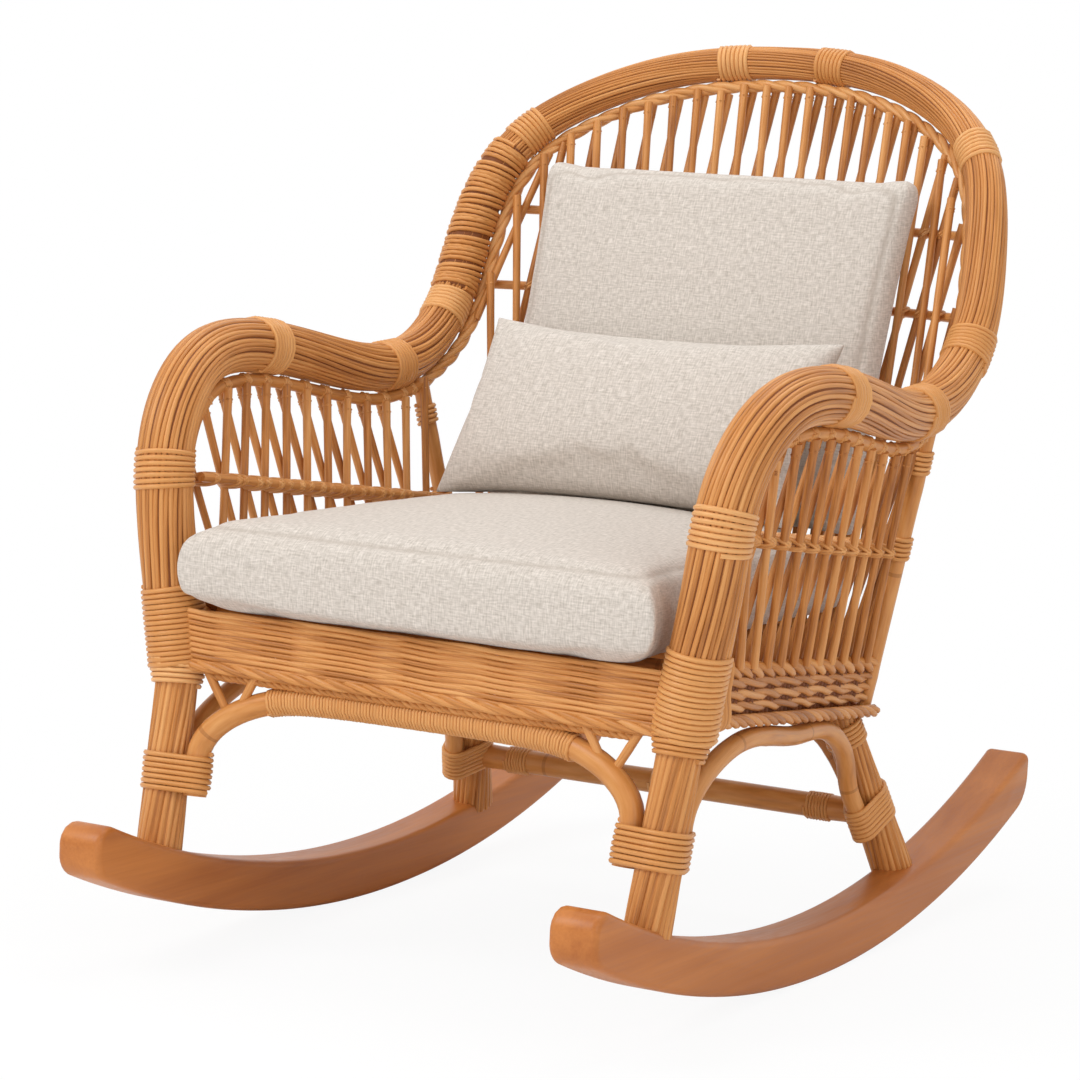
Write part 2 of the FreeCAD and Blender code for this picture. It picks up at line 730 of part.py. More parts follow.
SEAT_RADIUS = half_of("seat_pole_diameter")
ROW_RADIUS = half_of("apron_row")
FRONT_POLE = Vector(286, size("apron_front_y") + ROW_RADIUS + SEAT_RADIUS + TOUCH, size("seat_pole_front"))
REAR_POLE = post_at(size("seat_pole_rear")) - Vector(0, 8, 0)
SIDE_POLE_FRONT = Vector(267, FRONT_POLE.y + 6, FRONT_POLE.z)
SIDE_POLE_REAR = Vector(212, REAR_POLE.y - 6, REAR_POLE.z)
front_pole = straight("seat_front_pole", opposite(FRONT_POLE), FRONT_POLE, "seat_pole_diameter", POLE_SIDES)
named("seat_rail_front", fitted("seat_front", front_pole, *wrap_rooms))
rear_pole = straight("seat_rear_pole", opposite(REAR_POLE), REAR_POLE, "seat_pole_diameter", POLE_SIDES)
named("seat_rail_rear", fitted("seat_rear", rear_pole, *both([post_pole])))
side_pole = straight("seat_side_pole", SIDE_POLE_FRONT, SIDE_POLE_REAR, "seat_pole_diameter", POLE_SIDES)
side_pole = named_pair("seat_rail", fitted("seat_side", side_pole, front_pole, rear_pole, wrap_room))


def seat_slats():
    """Cross poles notched over the side poles."""
    count = int(size("slat_count"))
    lift = UP * (SEAT_RADIUS + half_of("slat_diameter") - size("slat_notch"))
    slats = []
    for number in range(count):
        end = between(SIDE_POLE_FRONT, SIDE_POLE_REAR, (number + 0.6) / (count + 0.3)) + lift + RIGHT * 6
        slat = straight("slat_pole", opposite(end), end, "slat_diameter")
        slats.append(fitted("slat", slat, *both([side_pole])))
    return slats


named("seat_slats", gathered("slats", seat_slats()))

# Apron: woven rows over a rope, butted between the corners

BORDER_RADIUS = half_of("apron_border")
PITCH = size("apron_pitch")


def front_rows():
    y = size("apron_front_y")
    low = size("apron_front_height")
    rows = [(low, "apron_border")]
    rows += [(low + BORDER_RADIUS + ROW_RADIUS + 1 + PITCH * step, "apron_row") for step in range(4)]
    bars = []
    for z, alias in rows:
        end = Vector(FRONT_POLE.x, y, z)
        bars.append(fitted("front_row", straight("front_bar", opposite(end), end, alias), *wrap_rooms))
    return bars


def side_rows():
    bars = []
    for step in range(3):
        drop = UP * (13 + PITCH * step)
        head = post_at(SILL_REAR.z - drop.z) + RIGHT * 2
        bar = straight("side_bar", SILL_FRONT - drop + RIGHT * 3, head, "apron_row")
        bars.append(fitted("side_row", bar, wrap_room, post_pole))
    drop = UP * (15 + PITCH * 3)
    rope = straight(
        "side_rope", SILL_FRONT - drop + RIGHT * 5, Vector(252, size("rear_post_y"), SILL_REAR.z - drop.z), "apron_border"
    )
    return bars + [fitted("side_border", rope, wrap_room)]


def rear_rows():
    top = size("sill_rear_height") - half_of("sill_diameter")
    bars = []
    for step in range(2):
        z = top - ROW_RADIUS - 1 - PITCH * step
        bars.append(bow("rear_row", inside_posts(z), z, ROW_RADIUS))
    z = top - 2 * PITCH - BORDER_RADIUS - 1
    return bars + [bow("rear_border", inside_posts(z), z, BORDER_RADIUS)]


named("apron_front", gathered("front_rows", front_rows()))
named_pair("apron", gathered("side_rows", side_rows()))
named("apron_rear", gathered("rear_rows", rear_rows()))

# Arches, stretcher and short reeds under the seat

ARCH_RADIUS = half_of("arch_diameter")
SIDE_ARCH_RADIUS = half_of("side_arch_diameter")
FRONT_TIE = 181
REAR_TIE = 138
TIE_REACH = 21


def beside_leg(foot, head, middle, offset):
    """Three points of an arch end that runs along a leg, from the bottom up."""
    heights = (middle - TIE_REACH, middle, middle + TIE_REACH)
    return [at_height(foot, head, z) + offset for z in heights]


def leg_radius(kind, foot, head, z):
    share = (z - foot.z) / (head.z - foot.z)
    return half_of(kind + "_foot") + (half_of(kind + "_top") - half_of(kind + "_foot")) * share


FRONT_LEG_RADIUS = leg_radius("front_leg", FRONT_FOOT, FRONT_HEAD, FRONT_TIE)
REAR_LEG_RADIUS = leg_radius("rear_leg", REAR_FOOT, REAR_HEAD, REAR_TIE)
front_beside = beside_leg(FRONT_FOOT, FRONT_HEAD, FRONT_TIE, Vector(-FRONT_LEG_RADIUS - ARCH_RADIUS - 0.9, 0, 0))
crown = size("arch_crown")
FRONT_ARCH = symmetric_curve(
    front_beside + [Vector(186, -337, crown - 12), Vector(112, -331, crown - 1), Vector(0, -330, crown)]
)


def where(curve, x):
    """Parameter of a symmetric curve's right half at x."""
    low = curve.FirstParameter
    high = (curve.FirstParameter + curve.LastParameter) / 2
    for step in range(50):
        middle = (low + high) / 2
        if curve.value(middle).x > x:
            low = middle
        else:
            high = middle
    return low


arch_start = FRONT_ARCH.FirstParameter
arch_middle = (FRONT_ARCH.FirstParameter + FRONT_ARCH.LastParameter) / 2
wrap_start = where(FRONT_ARCH, size("arch_wrap_reach"))
wrap_half = stations(FRONT_ARCH, wrap_start, arch_middle)
arch_stations = even(FRONT_ARCH, stations(FRONT_ARCH, arch_start, wrap_start)[:-1] + wrap_half)
named("front_arch", formed("arch", pole(FRONT_ARCH, ARCH_RADIUS, arch_stations)))
wrap_stations = even(FRONT_ARCH, wrap_half)
arch_wrap = sleeve(places_on(FRONT_ARCH, wrap_stations), [ARCH_RADIUS] * len(wrap_stations), 3, POLE_SIDES)
named("front_arch_wrap", formed("arch_wrapping", arch_wrap))

side_front = beside_leg(FRONT_FOOT, FRONT_HEAD, FRONT_TIE, Vector(0, 34, 0))
side_rear = beside_leg(REAR_FOOT, REAR_HEAD, REAR_TIE, Vector(1, -37.4, 0))
side_middle = [(276, -270, 241), (276, -205, 260), (264, -60, 246), (250, 60, 231), (244, 116, 192)]
SIDE_ARCH = curve_through(side_front + [Vector(*point) for point in side_middle] + list(reversed(side_rear)))
side_stations = stations(SIDE_ARCH, SIDE_ARCH.FirstParameter, SIDE_ARCH.LastParameter)
named_pair("side_arch", formed("side_bow", pole(SIDE_ARCH, SIDE_ARCH_RADIUS, side_stations)))

STRETCHER = at_height(REAR_FOOT, REAR_HEAD, size("stretcher_height"))
stretcher = straight("stretcher_pole", opposite(STRETCHER), STRETCHER, "stretcher_diameter", POLE_SIDES)
named("rear_stretcher", fitted("stretcher", stretcher, nodes["rear_leg_right"], nodes["rear_leg_left"]))

rear_arch_foot = at_height(REAR_FOOT, REAR_HEAD, 166) - RIGHT * 16
REAR_ARCH = symmetric_curve([rear_arch_foot, (190, 176, 204), (120, 173, 230), (0, 173, 238)])
rear_middle = (REAR_ARCH.FirstParameter + REAR_ARCH.LastParameter) / 2
rear_stations = even(REAR_ARCH, stations(REAR_ARCH, REAR_ARCH.FirstParameter, rear_middle))
named("rear_arch", formed("rear_bow", pole(REAR_ARCH, SIDE_ARCH_RADIUS, rear_stations)))


def corner_reeds():
    """Short reeds let into the front arch and the apron's rope, two in each corner."""
    reeds = []
    for foot_x, head_x in ((214, 244), (206, 182)):
        foot = FRONT_ARCH.value(where(FRONT_ARCH, foot_x))
        head = Vector(head_x, size("apron_front_y") + 3, size("apron_front_height"))
        reeds.append(straight("corner_reed", foot, head, "brace_reed"))
    return reeds


named("corner_reeds", gathered("corner_braces", both(corner_reeds())))

# Bindings that tie the arches to the legs and the liner and girt to the rear posts

front_tie = lashing(
    FRONT_FOOT,
    FRONT_HEAD,
    FRONT_TIE,
    40,
    [
        (at_height(FRONT_FOOT, FRONT_HEAD, FRONT_TIE), FRONT_LEG_RADIUS),
        (front_beside[1], ARCH_RADIUS + 0.4),
        (side_front[1], SIDE_ARCH_RADIUS + 1.4),
    ],
)
rear_tie = lashing(
    REAR_FOOT,
    REAR_HEAD,
    REAR_TIE,
    38,
    [
        (at_height(REAR_FOOT, REAR_HEAD, REAR_TIE), REAR_LEG_RADIUS),
        (side_rear[1], SIDE_ARCH_RADIUS + 0.4),
    ],
)
leg_ties = [formed("front_tie", front_tie), fitted("rear_tie", formed("rear_tie_blank", rear_tie), stretcher)]
named("leg_bindings", gathered("leg_ties", both(leg_ties)))

rings = []
for x, width in ((0, 30), (STRETCHER.x - 62, 26), (62 - STRETCHER.x, 26)):
    start = Vector(x - width / 2, STRETCHER.y, STRETCHER.z)
    rings.append(ring("stretcher_ring", start, start + RIGHT * width, "stretcher_wrap", "stretcher_diameter"))
named("stretcher_bindings", gathered("stretcher_rings", rings))

COLLAR = (207, 231)
rear_rise = (REAR_HEAD - REAR_FOOT).normalize()
collar_places = [(at_height(REAR_FOOT, REAR_HEAD, z), rear_rise) for z in COLLAR]
collar_radii = [leg_radius("rear_leg", REAR_FOOT, REAR_HEAD, z) for z in COLLAR]
collar = sleeve(collar_places, collar_radii, size("binding_reed"), LEG_SIDES)
named_pair("rear_leg_collar", formed("collar", collar))
girt_wrap = ring("girt_wrap", post_at(404), post_at(430), "girt_wrap_diameter", "rear_post_diameter")
last_reeds = (side_panel[-1], side_panel[int(size("side_reeds")) - 1])
girt_ring = fitted("girt_ring", girt_wrap, *last_reeds)
head_wrap = ring("head_wrap", post_at(498), post_at(518), "girt_wrap_diameter", "rear_post_diameter")
head_ring = fitted("head_ring", head_wrap, side_panel[-2], side_panel[-1])
named("rear_post_bindings", gathered("post_ties", both([girt_ring, head_ring])))

# Loose cushions: crowned, with sides that draw in between the corners

WAIST = 0.03


def pad_section(half_width, low, high, bulge, crown):
    """A closed section of a boxed cushion across X: flat base, swelling sides, crowned top."""
    corners = [Vector(x, 0, z) for x, z in ((-half_width, low), (half_width, low), (half_width, high), (-half_width, high))]
    middle = (low + high) / 2
    edges = [
        Part.makeLine(corners[0], corners[1]),
        Part.Arc(corners[1], Vector(half_width + bulge, 0, middle), corners[2]).toShape(),
        Part.Arc(corners[2], Vector(0, 0, high + crown), corners[3]).toShape(),
        Part.Arc(corners[3], Vector(-half_width - bulge, 0, middle), corners[0]).toShape(),
    ]
    return Part.Wire(edges)


def boxed_cushion(front, rear, length, edge, crown, bulge, nose):
    """Boxed cushion lying flat, its front at Y 0 and its base at Z 0; nose rounds its two ends."""
    rounding = []
    for angle in (0, 40, 90):
        turn = math.radians(angle)
        rounding.append((nose * (1 - math.cos(turn)), nose * (1 - math.sin(turn))))
    stops = rounding + [(0.3 * length, 0), (0.5 * length, 0), (0.7 * length, 0)]
    stops += [(length - along, drawn) for along, drawn in reversed(rounding)]
    wires = []
    for along, drawn in stops:
        middle = 1 - (2 * along / length - 1) ** 2
        width = front + (rear - front) * along / length
        half_width = width / 2 * (1 - WAIST * middle) - bulge - 0.3 * drawn
        swell = bulge * (1 - 0.5 * drawn / nose)
        section = pad_section(half_width, 0.45 * drawn, edge - 0.75 * drawn, swell, crown * (0.2 + 0.8 * middle))
        section.translate(Vector(0, along, 0))
        wires.append(section)
    return Part.makeLoft(wires, True, True)


def knife_edge_pillow(width, length, thickness, facets=6):
    """Pillow of two swelling faces that meet in one seam, standing on its long edge."""
    profile = ((-1.0, 0.08, 1.0), (-0.82, 0.58, 0.98), (-0.38, 0.96, 0.955))
    sections = profile + tuple((-share, swell, tall) for share, swell, tall in reversed(profile))
    wires = []
    for share, swell, tall in sections:
        rear = []
        for number in range(facets):
            height = 2 * number / facets - 1
            depth = swell * thickness / 2 * (1 - height ** 2)
            rear.append(Vector(share * width / 2, depth, height * tall * length / 2))
        front = [Vector(point.x, -point.y, -point.z) for point in rear]
        wires.append(Part.makePolygon(rear + front + rear[:1]))
    return Part.makeLoft(wires, True, True)


def laid(label, shape, place, tilt):
    """A cushion turned rearward about X, its own origin at a place."""
    part = named(label, formed(label, shape))
    part.Placement = Placement(place, Rotation(RIGHT, tilt))


seat_slope = (SIDE_POLE_REAR.z - SIDE_POLE_FRONT.z) / (SIDE_POLE_REAR.y - SIDE_POLE_FRONT.y)
slat_top = SIDE_POLE_FRONT.z + SEAT_RADIUS + size("slat_diameter") - size("slat_notch")
seat_front = size("seat_cushion_front")
seat = boxed_cushion(
    size("seat_cushion_width"),
    size("seat_cushion_rear"),
    size("seat_cushion_length"),
    size("seat_cushion_edge"),
    size("seat_cushion_crown"),
    9,
    30,
)
seat_base = slat_top + TOUCH + 0.1 + seat_slope * (seat_front - SIDE_POLE_FRONT.y)
laid("seat_cushion", seat, Vector(0, seat_front, seat_base), math.degrees(math.atan(seat_slope)))
back = boxed_cushion(
    size("back_cushion_width"),
    size("back_cushion_width"),
    size("back_cushion_length"),
    size("back_cushion_edge"),
    size("back_cushion_crown"),
    8,
    20,
)
laid("back_cushion", back, Vector(0, 180.4, 415.5), 90 - size("back_cushion_tilt"))
pillow = knife_edge_pillow(size("pillow_width"), size("pillow_length"), size("pillow_thickness"))
laid("lumbar_pillow", pillow, Vector(0, 78, 530), -size("pillow_tilt"))

doc.recompute()

# Every object is sound before anything is written

for part in doc.Objects:
    if "Invalid" in part.State or "Error" in part.State:
        raise RuntimeError("%s failed: %s" % (part.Label, part.State))
for label, part in nodes.items():
    if part.Shape.isNull() or not part.Shape.isValid() or not part.Shape.Solids:
        raise RuntimeError(label + " has no sound shape")

os.makedirs("parts", exist_ok=True)
for label, part in nodes.items():
    part.Shape.exportStep(os.path.join("parts", label + ".step"))
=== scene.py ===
"""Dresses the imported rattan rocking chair: bundled cane rails, wound bindings, crossing reeds, wood and linen."""
import math
from functools import partial

import bmesh
import bpy
import numpy as np
from mathutils import Matrix, Vector


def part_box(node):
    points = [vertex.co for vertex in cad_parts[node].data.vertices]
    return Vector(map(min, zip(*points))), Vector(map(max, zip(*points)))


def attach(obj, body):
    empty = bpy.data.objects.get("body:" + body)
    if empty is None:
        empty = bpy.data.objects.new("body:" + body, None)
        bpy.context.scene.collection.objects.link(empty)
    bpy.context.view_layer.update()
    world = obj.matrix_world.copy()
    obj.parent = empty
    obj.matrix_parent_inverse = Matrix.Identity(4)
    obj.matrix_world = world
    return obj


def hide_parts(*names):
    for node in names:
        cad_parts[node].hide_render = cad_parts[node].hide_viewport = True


bl_info = {
    "name": "Rattan rocking chair",
    "version": (1, 0, 0),
    "blender": (4, 5, 0),
    "location": "3D View > Sidebar > Rattan chair",
    "description": "Builds the cane, reed, wood and linen of a rattan rocking chair over its packed solids",
    "category": "Add Mesh",
}

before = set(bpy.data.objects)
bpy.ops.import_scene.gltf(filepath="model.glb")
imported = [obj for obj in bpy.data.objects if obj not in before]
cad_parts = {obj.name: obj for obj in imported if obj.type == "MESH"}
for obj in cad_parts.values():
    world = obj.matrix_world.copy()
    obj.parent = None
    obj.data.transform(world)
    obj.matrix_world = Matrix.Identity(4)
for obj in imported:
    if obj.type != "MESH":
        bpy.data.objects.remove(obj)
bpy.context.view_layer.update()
MM = 0.001
TURN = 2 * math.pi
SIDES = ("right", "left")
MIRROR = np.array((-1.0, 1.0, 1.0))


# Lines that the canes follow, in metres


def mm(*places):
    return np.array(places, float) * MM


def spot(x, y, z):
    return mm((x, y, z))[0]


def fit(points):
    """Smooth line through points: knots by chord length, points and bends."""
    points = np.asarray(points, float)
    steps = np.linalg.norm(np.diff(points, axis=0), axis=1)
    knots = np.concatenate(([0.0], np.cumsum(steps)))
    count = len(points)
    system = np.eye(count)
    right = np.zeros((count, 3))
    for k in range(1, count - 1):
        system[k, k - 1 : k + 2] = steps[k - 1], 2 * (steps[k - 1] + steps[k]), steps[k]
        right[k] = 6 * ((points[k + 1] - points[k]) / steps[k] - (points[k] - points[k - 1]) / steps[k - 1])
    return knots, points, np.linalg.solve(system, right)


def along(curve, shares):
    """Places and directions at shares of a fitted line."""
    knots, points, bends = curve
    t = np.clip(np.atleast_1d(shares), 0, 1) * knots[-1]
    k = np.clip(np.searchsorted(knots, t, side="right") - 1, 0, len(knots) - 2)
    step = (knots[k + 1] - knots[k])[:, None]
    a = (knots[k + 1] - t)[:, None] / step
    b = 1 - a
    places = a * points[k] + b * points[k + 1]
    places += ((a**3 - a) * bends[k] + (b**3 - b) * bends[k + 1]) * step**2 / 6
    ways = (points[k + 1] - points[k]) / step
    ways += ((3 * b * b - 1) * bends[k + 1] - (3 * a * a - 1) * bends[k]) * step / 6
    return places, ways / np.linalg.norm(ways, axis=1, keepdims=True)


def line_of(curve, low=0.0, high=1.0, step=0.006):
    """Close places on a fitted line between two shares of it."""
    count = max(3, int(curve[0][-1] * (high - low) / step) + 1)
    return along(curve, np.linspace(low, high, count))[0]


def straight(start, end, step=0.02):
    count = max(2, int(np.linalg.norm(np.subtract(end, start)) / step) + 1)
    return np.linspace(start, end, count)


def across(end):
    """Straight line from an end on the right to its mirror image."""
    return straight(end, end * MIRROR)


def symmetric(half):
    """Points of the right half, the last of them in the middle, and their mirror images."""
    return np.vstack((half, half[-2::-1] * MIRROR))


def at_height(foot, head, z):
    return foot + (head - foot) * ((z - foot[2]) / (head[2] - foot[2]))


def standing(leg_at, heights):
    return np.array([leg_at(z) for z in heights])


def unit(vector):
    return np.asarray(vector, float) / np.linalg.norm(vector)


def both(runs):
    """Runs of the right side and their mirror images; a run is a line and its girth."""
    return runs + [(line * MIRROR, girth) for line, girth in runs]


def pair(name):
    return [name + "_" + side for side in SIDES]


RAIL_POINTS = mm(
    (282, -334, 284), (293, -334, 355), (304, -334, 425), (313, -322, 515), (322, -265, 577),
    (327, -175, 593), (321, -30, 573), (314, 90, 563), (314, 160, 584), (315, 215, 634),
    (309, 250, 722), (283, 291, 806), (222, 340, 861), (125, 378, 899), (0, 395, 911),
)
RAIL = fit(symmetric(RAIL_POINTS))
RAIL_TAPER = ((0, 0.3, 0.5, 0.62, 0.8, 1), (0.029, 0.028, 0.026, 0.0235, 0.020, 0.0182))
RAIL_HALF = RAIL[0][-1] / 2
BAND_SHARES = (0.143, 0.33, 0.5, 0.6, 0.77, 0.955)
CORE_SHARE = 0.95
LINER_GAP = 0.0085
LINER_SHARES = (0.065, 0.533, 1)
SIDE_OUT = unit((1, 0, -0.15))
POST_FOOT, POST_HEAD = mm((238, 163, 246), (308, 138, 560))
BACK_TOP_Y, BACK_TOP_Z = 0.395, 0.911
BACK_LEAN = 0.28
BACK_BOW = 1.05
RUNNER_RADIUS, RUNNER_DEPTH, RUNNER_CONTACT = 1.310, 0.052, -0.002
RUNNER_REACH, RUNNER_MIDDLE, RUNNER_HALF = 0.508, 0.270, 0.025

post_at = partial(at_height, POST_FOOT, POST_HEAD)


def rail_girth(share):
    """Radius of the rail at a share of its half, from 0 at the post to 1 at the top."""
    return np.interp(1 - np.abs(1 - np.asarray(share)), *RAIL_TAPER)


def rail_line(low, high, step=0.006):
    """Line and radius of the rail between two shares of its half; shares over 1 are on the left."""
    count = max(3, int(RAIL_HALF * (high - low) / step) + 1)
    shares = np.linspace(low, high, count)
    return along(RAIL, shares / 2)[0], rail_girth(shares)


def back_y(x, z):
    return BACK_TOP_Y - BACK_LEAN * (BACK_TOP_Z - z) - BACK_BOW * x * x


def runner_height(y, inset):
    """Height of the runner's side outline at y, a distance above its running edge."""
    return RUNNER_RADIUS - np.sqrt((RUNNER_RADIUS - inset) ** 2 - (y - RUNNER_CONTACT) ** 2)


runner_top = partial(runner_height, inset=RUNNER_DEPTH)
FRONT_LEG_Y, REAR_LEG_Y = -0.371, 0.222
FRONT_FOOT = np.array((0.273, FRONT_LEG_Y, runner_top(FRONT_LEG_Y) - 0.008))
FRONT_HEAD = spot(282, -334, 292)
REAR_FOOT = np.array((0.261, REAR_LEG_Y, runner_top(REAR_LEG_Y) - 0.014))
REAR_HEAD = at_height(REAR_FOOT, spot(216, 122, 268), 0.312)
FRONT_TIE, REAR_TIE, TIE_REACH = 0.181, 0.138, 0.021

front_leg_at = partial(at_height, FRONT_FOOT, FRONT_HEAD)
rear_leg_at = partial(at_height, REAR_FOOT, REAR_HEAD)
front_leg_girth = partial(np.interp, xp=(FRONT_FOOT[2], FRONT_HEAD[2]), fp=(0.023, 0.021))
rear_leg_girth = partial(np.interp, xp=(REAR_FOOT[2], REAR_HEAD[2]), fp=(0.0225, 0.017))


def beside_leg(leg_at, middle, *offset):
    return standing(leg_at, (middle - TIE_REACH, middle, middle + TIE_REACH)) + offset


FRONT_BESIDE = beside_leg(front_leg_at, FRONT_TIE, -front_leg_girth(FRONT_TIE) - 0.0129, 0, 0)
SIDE_BESIDE = beside_leg(front_leg_at, FRONT_TIE, 0, 0.034, 0)
REAR_BESIDE = beside_leg(rear_leg_at, REAR_TIE, 0.001, -0.0374, 0)
FRONT_CROWN = mm((186, -337, 254), (112, -331, 265), (0, -330, 266))
SIDE_CROWN = mm((276, -270, 241), (276, -205, 260), (264, -60, 246), (250, 60, 231), (244, 116, 192))
REAR_CROWN = mm((190, 176, 204), (120, 173, 230), (0, 173, 238))
REAR_INSET = np.array((0.016, 0, 0))
FRONT_ARCH = fit(symmetric(np.vstack((FRONT_BESIDE, FRONT_CROWN))))
SIDE_ARCH = fit(np.vstack((SIDE_BESIDE, SIDE_CROWN, REAR_BESIDE[::-1])))
REAR_ARCH = fit(symmetric(np.vstack((rear_leg_at(0.166) - REAR_INSET, REAR_CROWN))))


def liner_at(share):
    """Centre of the liner at a share of the rail, which edges the side panel and, past the rear post, the back."""
    turned = min(max((share - 0.47) / 0.17, 0), 1)
    (place,), (way,) = along(RAIL, share / 2)
    back_out = unit((2 * BACK_BOW * place[0], 1, -BACK_LEAN))
    inward = unit(np.cross(way, SIDE_OUT * (1 - turned) + back_out * turned))
    return place + inward * (rail_girth(share) + LINER_GAP)


def liner_points(low, high):
    return np.array([liner_at(share) for share in np.linspace(low, high, 12)])


ARM_LINER = fit(liner_points(*LINER_SHARES[:2]))
HOOP_HALF = liner_points(*LINER_SHARES[1:])
HOOP_HALF[-1, 0] = 0
BACK_LINER = fit(symmetric(HOOP_HALF))
SILL_Z = 0.291
SILL_FRONT = spot(290, -334, 343)
SILL_REAR = post_at(SILL_Z)
GIRT_GIRTH, GIRT_INSET, GIRT_SETBACK = 0.005, 0.0149, 0.0165
GIRT_FRONT = spot(302, -300, 466) - SIDE_OUT * GIRT_INSET
GIRT_REAR = spot(274, 150, 414) - SIDE_OUT * GIRT_INSET
BACK_GIRTS = ((0.470, 0.258), (0.565, 0.272), (0.650, 0.275), (0.735, 0.268))
HOOP_START_Z = 0.6
SEAT_FRONT = spot(286, -328.2, 318)
SEAT_REAR = post_at(0.313) - (0, 0.008, 0)
SEAT_SIDE_FRONT = np.array((0.267, SEAT_FRONT[1] + 0.006, SEAT_FRONT[2]))
SEAT_SIDE_REAR = np.array((0.212, SEAT_REAR[1] - 0.006, SEAT_REAR[2]))
SEAT_SIDE = SEAT_SIDE_REAR - SEAT_SIDE_FRONT
SEAT_GIRTH = 0.013


def bowed(half_width, z, setback=0.0):
    """Line across the back at one height, set back from the panel."""
    x = np.linspace(half_width, -half_width, 41)
    return np.column_stack((x, back_y(x, z) + setback, np.full_like(x, z)))


def between_posts(z):
    return bowed(post_at(z)[0] - 0.013, z)


def apron_side(drop, front_out, rear_out):
    """Ends of a line along a side of the apron, a drop below the sill and set outwards."""
    return SILL_FRONT + (front_out, 0.031, -drop), post_at(SILL_Z - drop) + (rear_out, -0.009, 0)


def bars_of(node):
    """Lower and upper ends of the straight bars in a CAD node."""
    copy = bmesh.new()
    copy.from_mesh(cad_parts[node].data)
    bmesh.ops.remove_doubles(copy, verts=copy.verts, dist=1e-5)
    bars = []
    unseen = set(copy.verts)
    while unseen:
        group = [unseen.pop()]
        for vertex in group:
            for edge in vertex.link_edges:
                other = edge.other_vert(vertex)
                if other in unseen:
                    unseen.remove(other)
                    group.append(other)
        places = np.array([vertex.co for vertex in group])
        centre = places.mean(axis=0)
        axis = np.linalg.svd(places - centre)[2][0]
        axis = axis if axis[2] > 0 else -axis
        reach = (places - centre) @ axis
        bars.append((centre + axis * reach.min(), centre + axis * reach.max()))
    copy.free()
    return sorted(bars, key=lambda bar: tuple(np.round(bar[0], 4)))


# Node trees


def feed(tree, node, links):
    """Links or sets a node's inputs by name or number."""
    for key, value in links.items():
        if isinstance(value, bpy.types.NodeSocket):
            tree.links.new(value, node.inputs[key])
        else:
            node.inputs[key].default_value = value


def add(tree, kind, links=None, **settings):
    """A node with its settings and inputs."""
    node = tree.nodes.new(kind)
    for name, value in settings.items():
        setattr(node, name, value)
    feed(tree, node, links or {})
    return node


def made(tree, kind, links=None, output=0, **settings):
    """One output of a new node."""
    return add(tree, kind, links, **settings).outputs[output]


def calc(tree, operation, first, second=0.0):
    return made(tree, "ShaderNodeMath", {0: first, 1: second}, operation=operation)


def spin(tree, operation, first, second):
    """A vector calculation; a scale takes its factor from a socket or number."""
    links = {0: first, "Scale" if operation == "SCALE" else 1: second}
    return made(tree, "ShaderNodeVectorMath", links, operation=operation)


def store(tree, geometry, name, value, domain="POINT"):
    links = {"Geometry": geometry, "Name": name, "Value": value}
    return made(tree, "GeometryNodeStoreNamedAttribute", links, data_type="FLOAT", domain=domain)


def chance_of(tree, number, given):
    links = {"ID": number, "Seed": given["Seed"]}
    return made(tree, "FunctionNodeRandomValue", links, 1, data_type="FLOAT")


def spline(tree, measure):
    return made(tree, "GeometryNodeSplineParameter", None, measure)


SOCKETS = {float: "NodeSocketFloat", int: "NodeSocketInt", type(None): "NodeSocketMaterial"}


def new_tree(name, **inputs):
    """A geometry tree, its inputs, and the lines it is given, resampled; _ in a name stands for a space."""
    tree = bpy.data.node_groups.new(name, "GeometryNodeTree")
    face = tree.interface
    face.new_socket("Geometry", in_out="INPUT", socket_type="NodeSocketGeometry")
    for label, default in inputs.items():
        socket = face.new_socket(label.replace("_", " "), in_out="INPUT", socket_type=SOCKETS[type(default)])
        if default is not None:
            socket.default_value = default
    face.new_socket("Geometry", in_out="OUTPUT", socket_type="NodeSocketGeometry")
    given = add(tree, "NodeGroupInput").outputs
    line = made(tree, "GeometryNodeMeshToCurve", {0: given["Geometry"]})
    dense = made(tree, "GeometryNodeResampleCurve", {"Curve": line, "Length": given["Spacing"]}, mode="LENGTH")
    return tree, given, dense


def cane_skin(tree, curve, radius, given):
    """Canes of a radius along curves, each with a shade of its own and its length and girth measured for the grain."""
    index = made(tree, "GeometryNodeInputIndex")
    curve = store(tree, curve, "shade", chance_of(tree, index, given), "CURVE")
    curve = store(tree, curve, "along", spline(tree, "Length"))
    circle = made(tree, "GeometryNodeCurvePrimitiveCircle", {"Resolution": given["Sides"], "Radius": 1.0})
    profile = store(tree, circle, "around", spline(tree, "Factor"))
    links = {"Curve": curve, "Profile Curve": profile, "Scale": radius, "Fill Caps": True}
    skin = made(tree, "GeometryNodeCurveToMesh", links)
    smooth = made(tree, "GeometryNodeSetShadeSmooth", {"Geometry": skin})
    real = made(tree, "GeometryNodeRealizeInstances", {"Geometry": smooth})
    dressed = made(tree, "GeometryNodeSetMaterial", {"Geometry": real, "Material": given["Material"]})
    add(tree, "NodeGroupOutput", {"Geometry": dressed})


def girth_of(tree):
    return made(tree, "GeometryNodeInputNamedAttribute", {"Name": "girth"}, data_type="FLOAT")


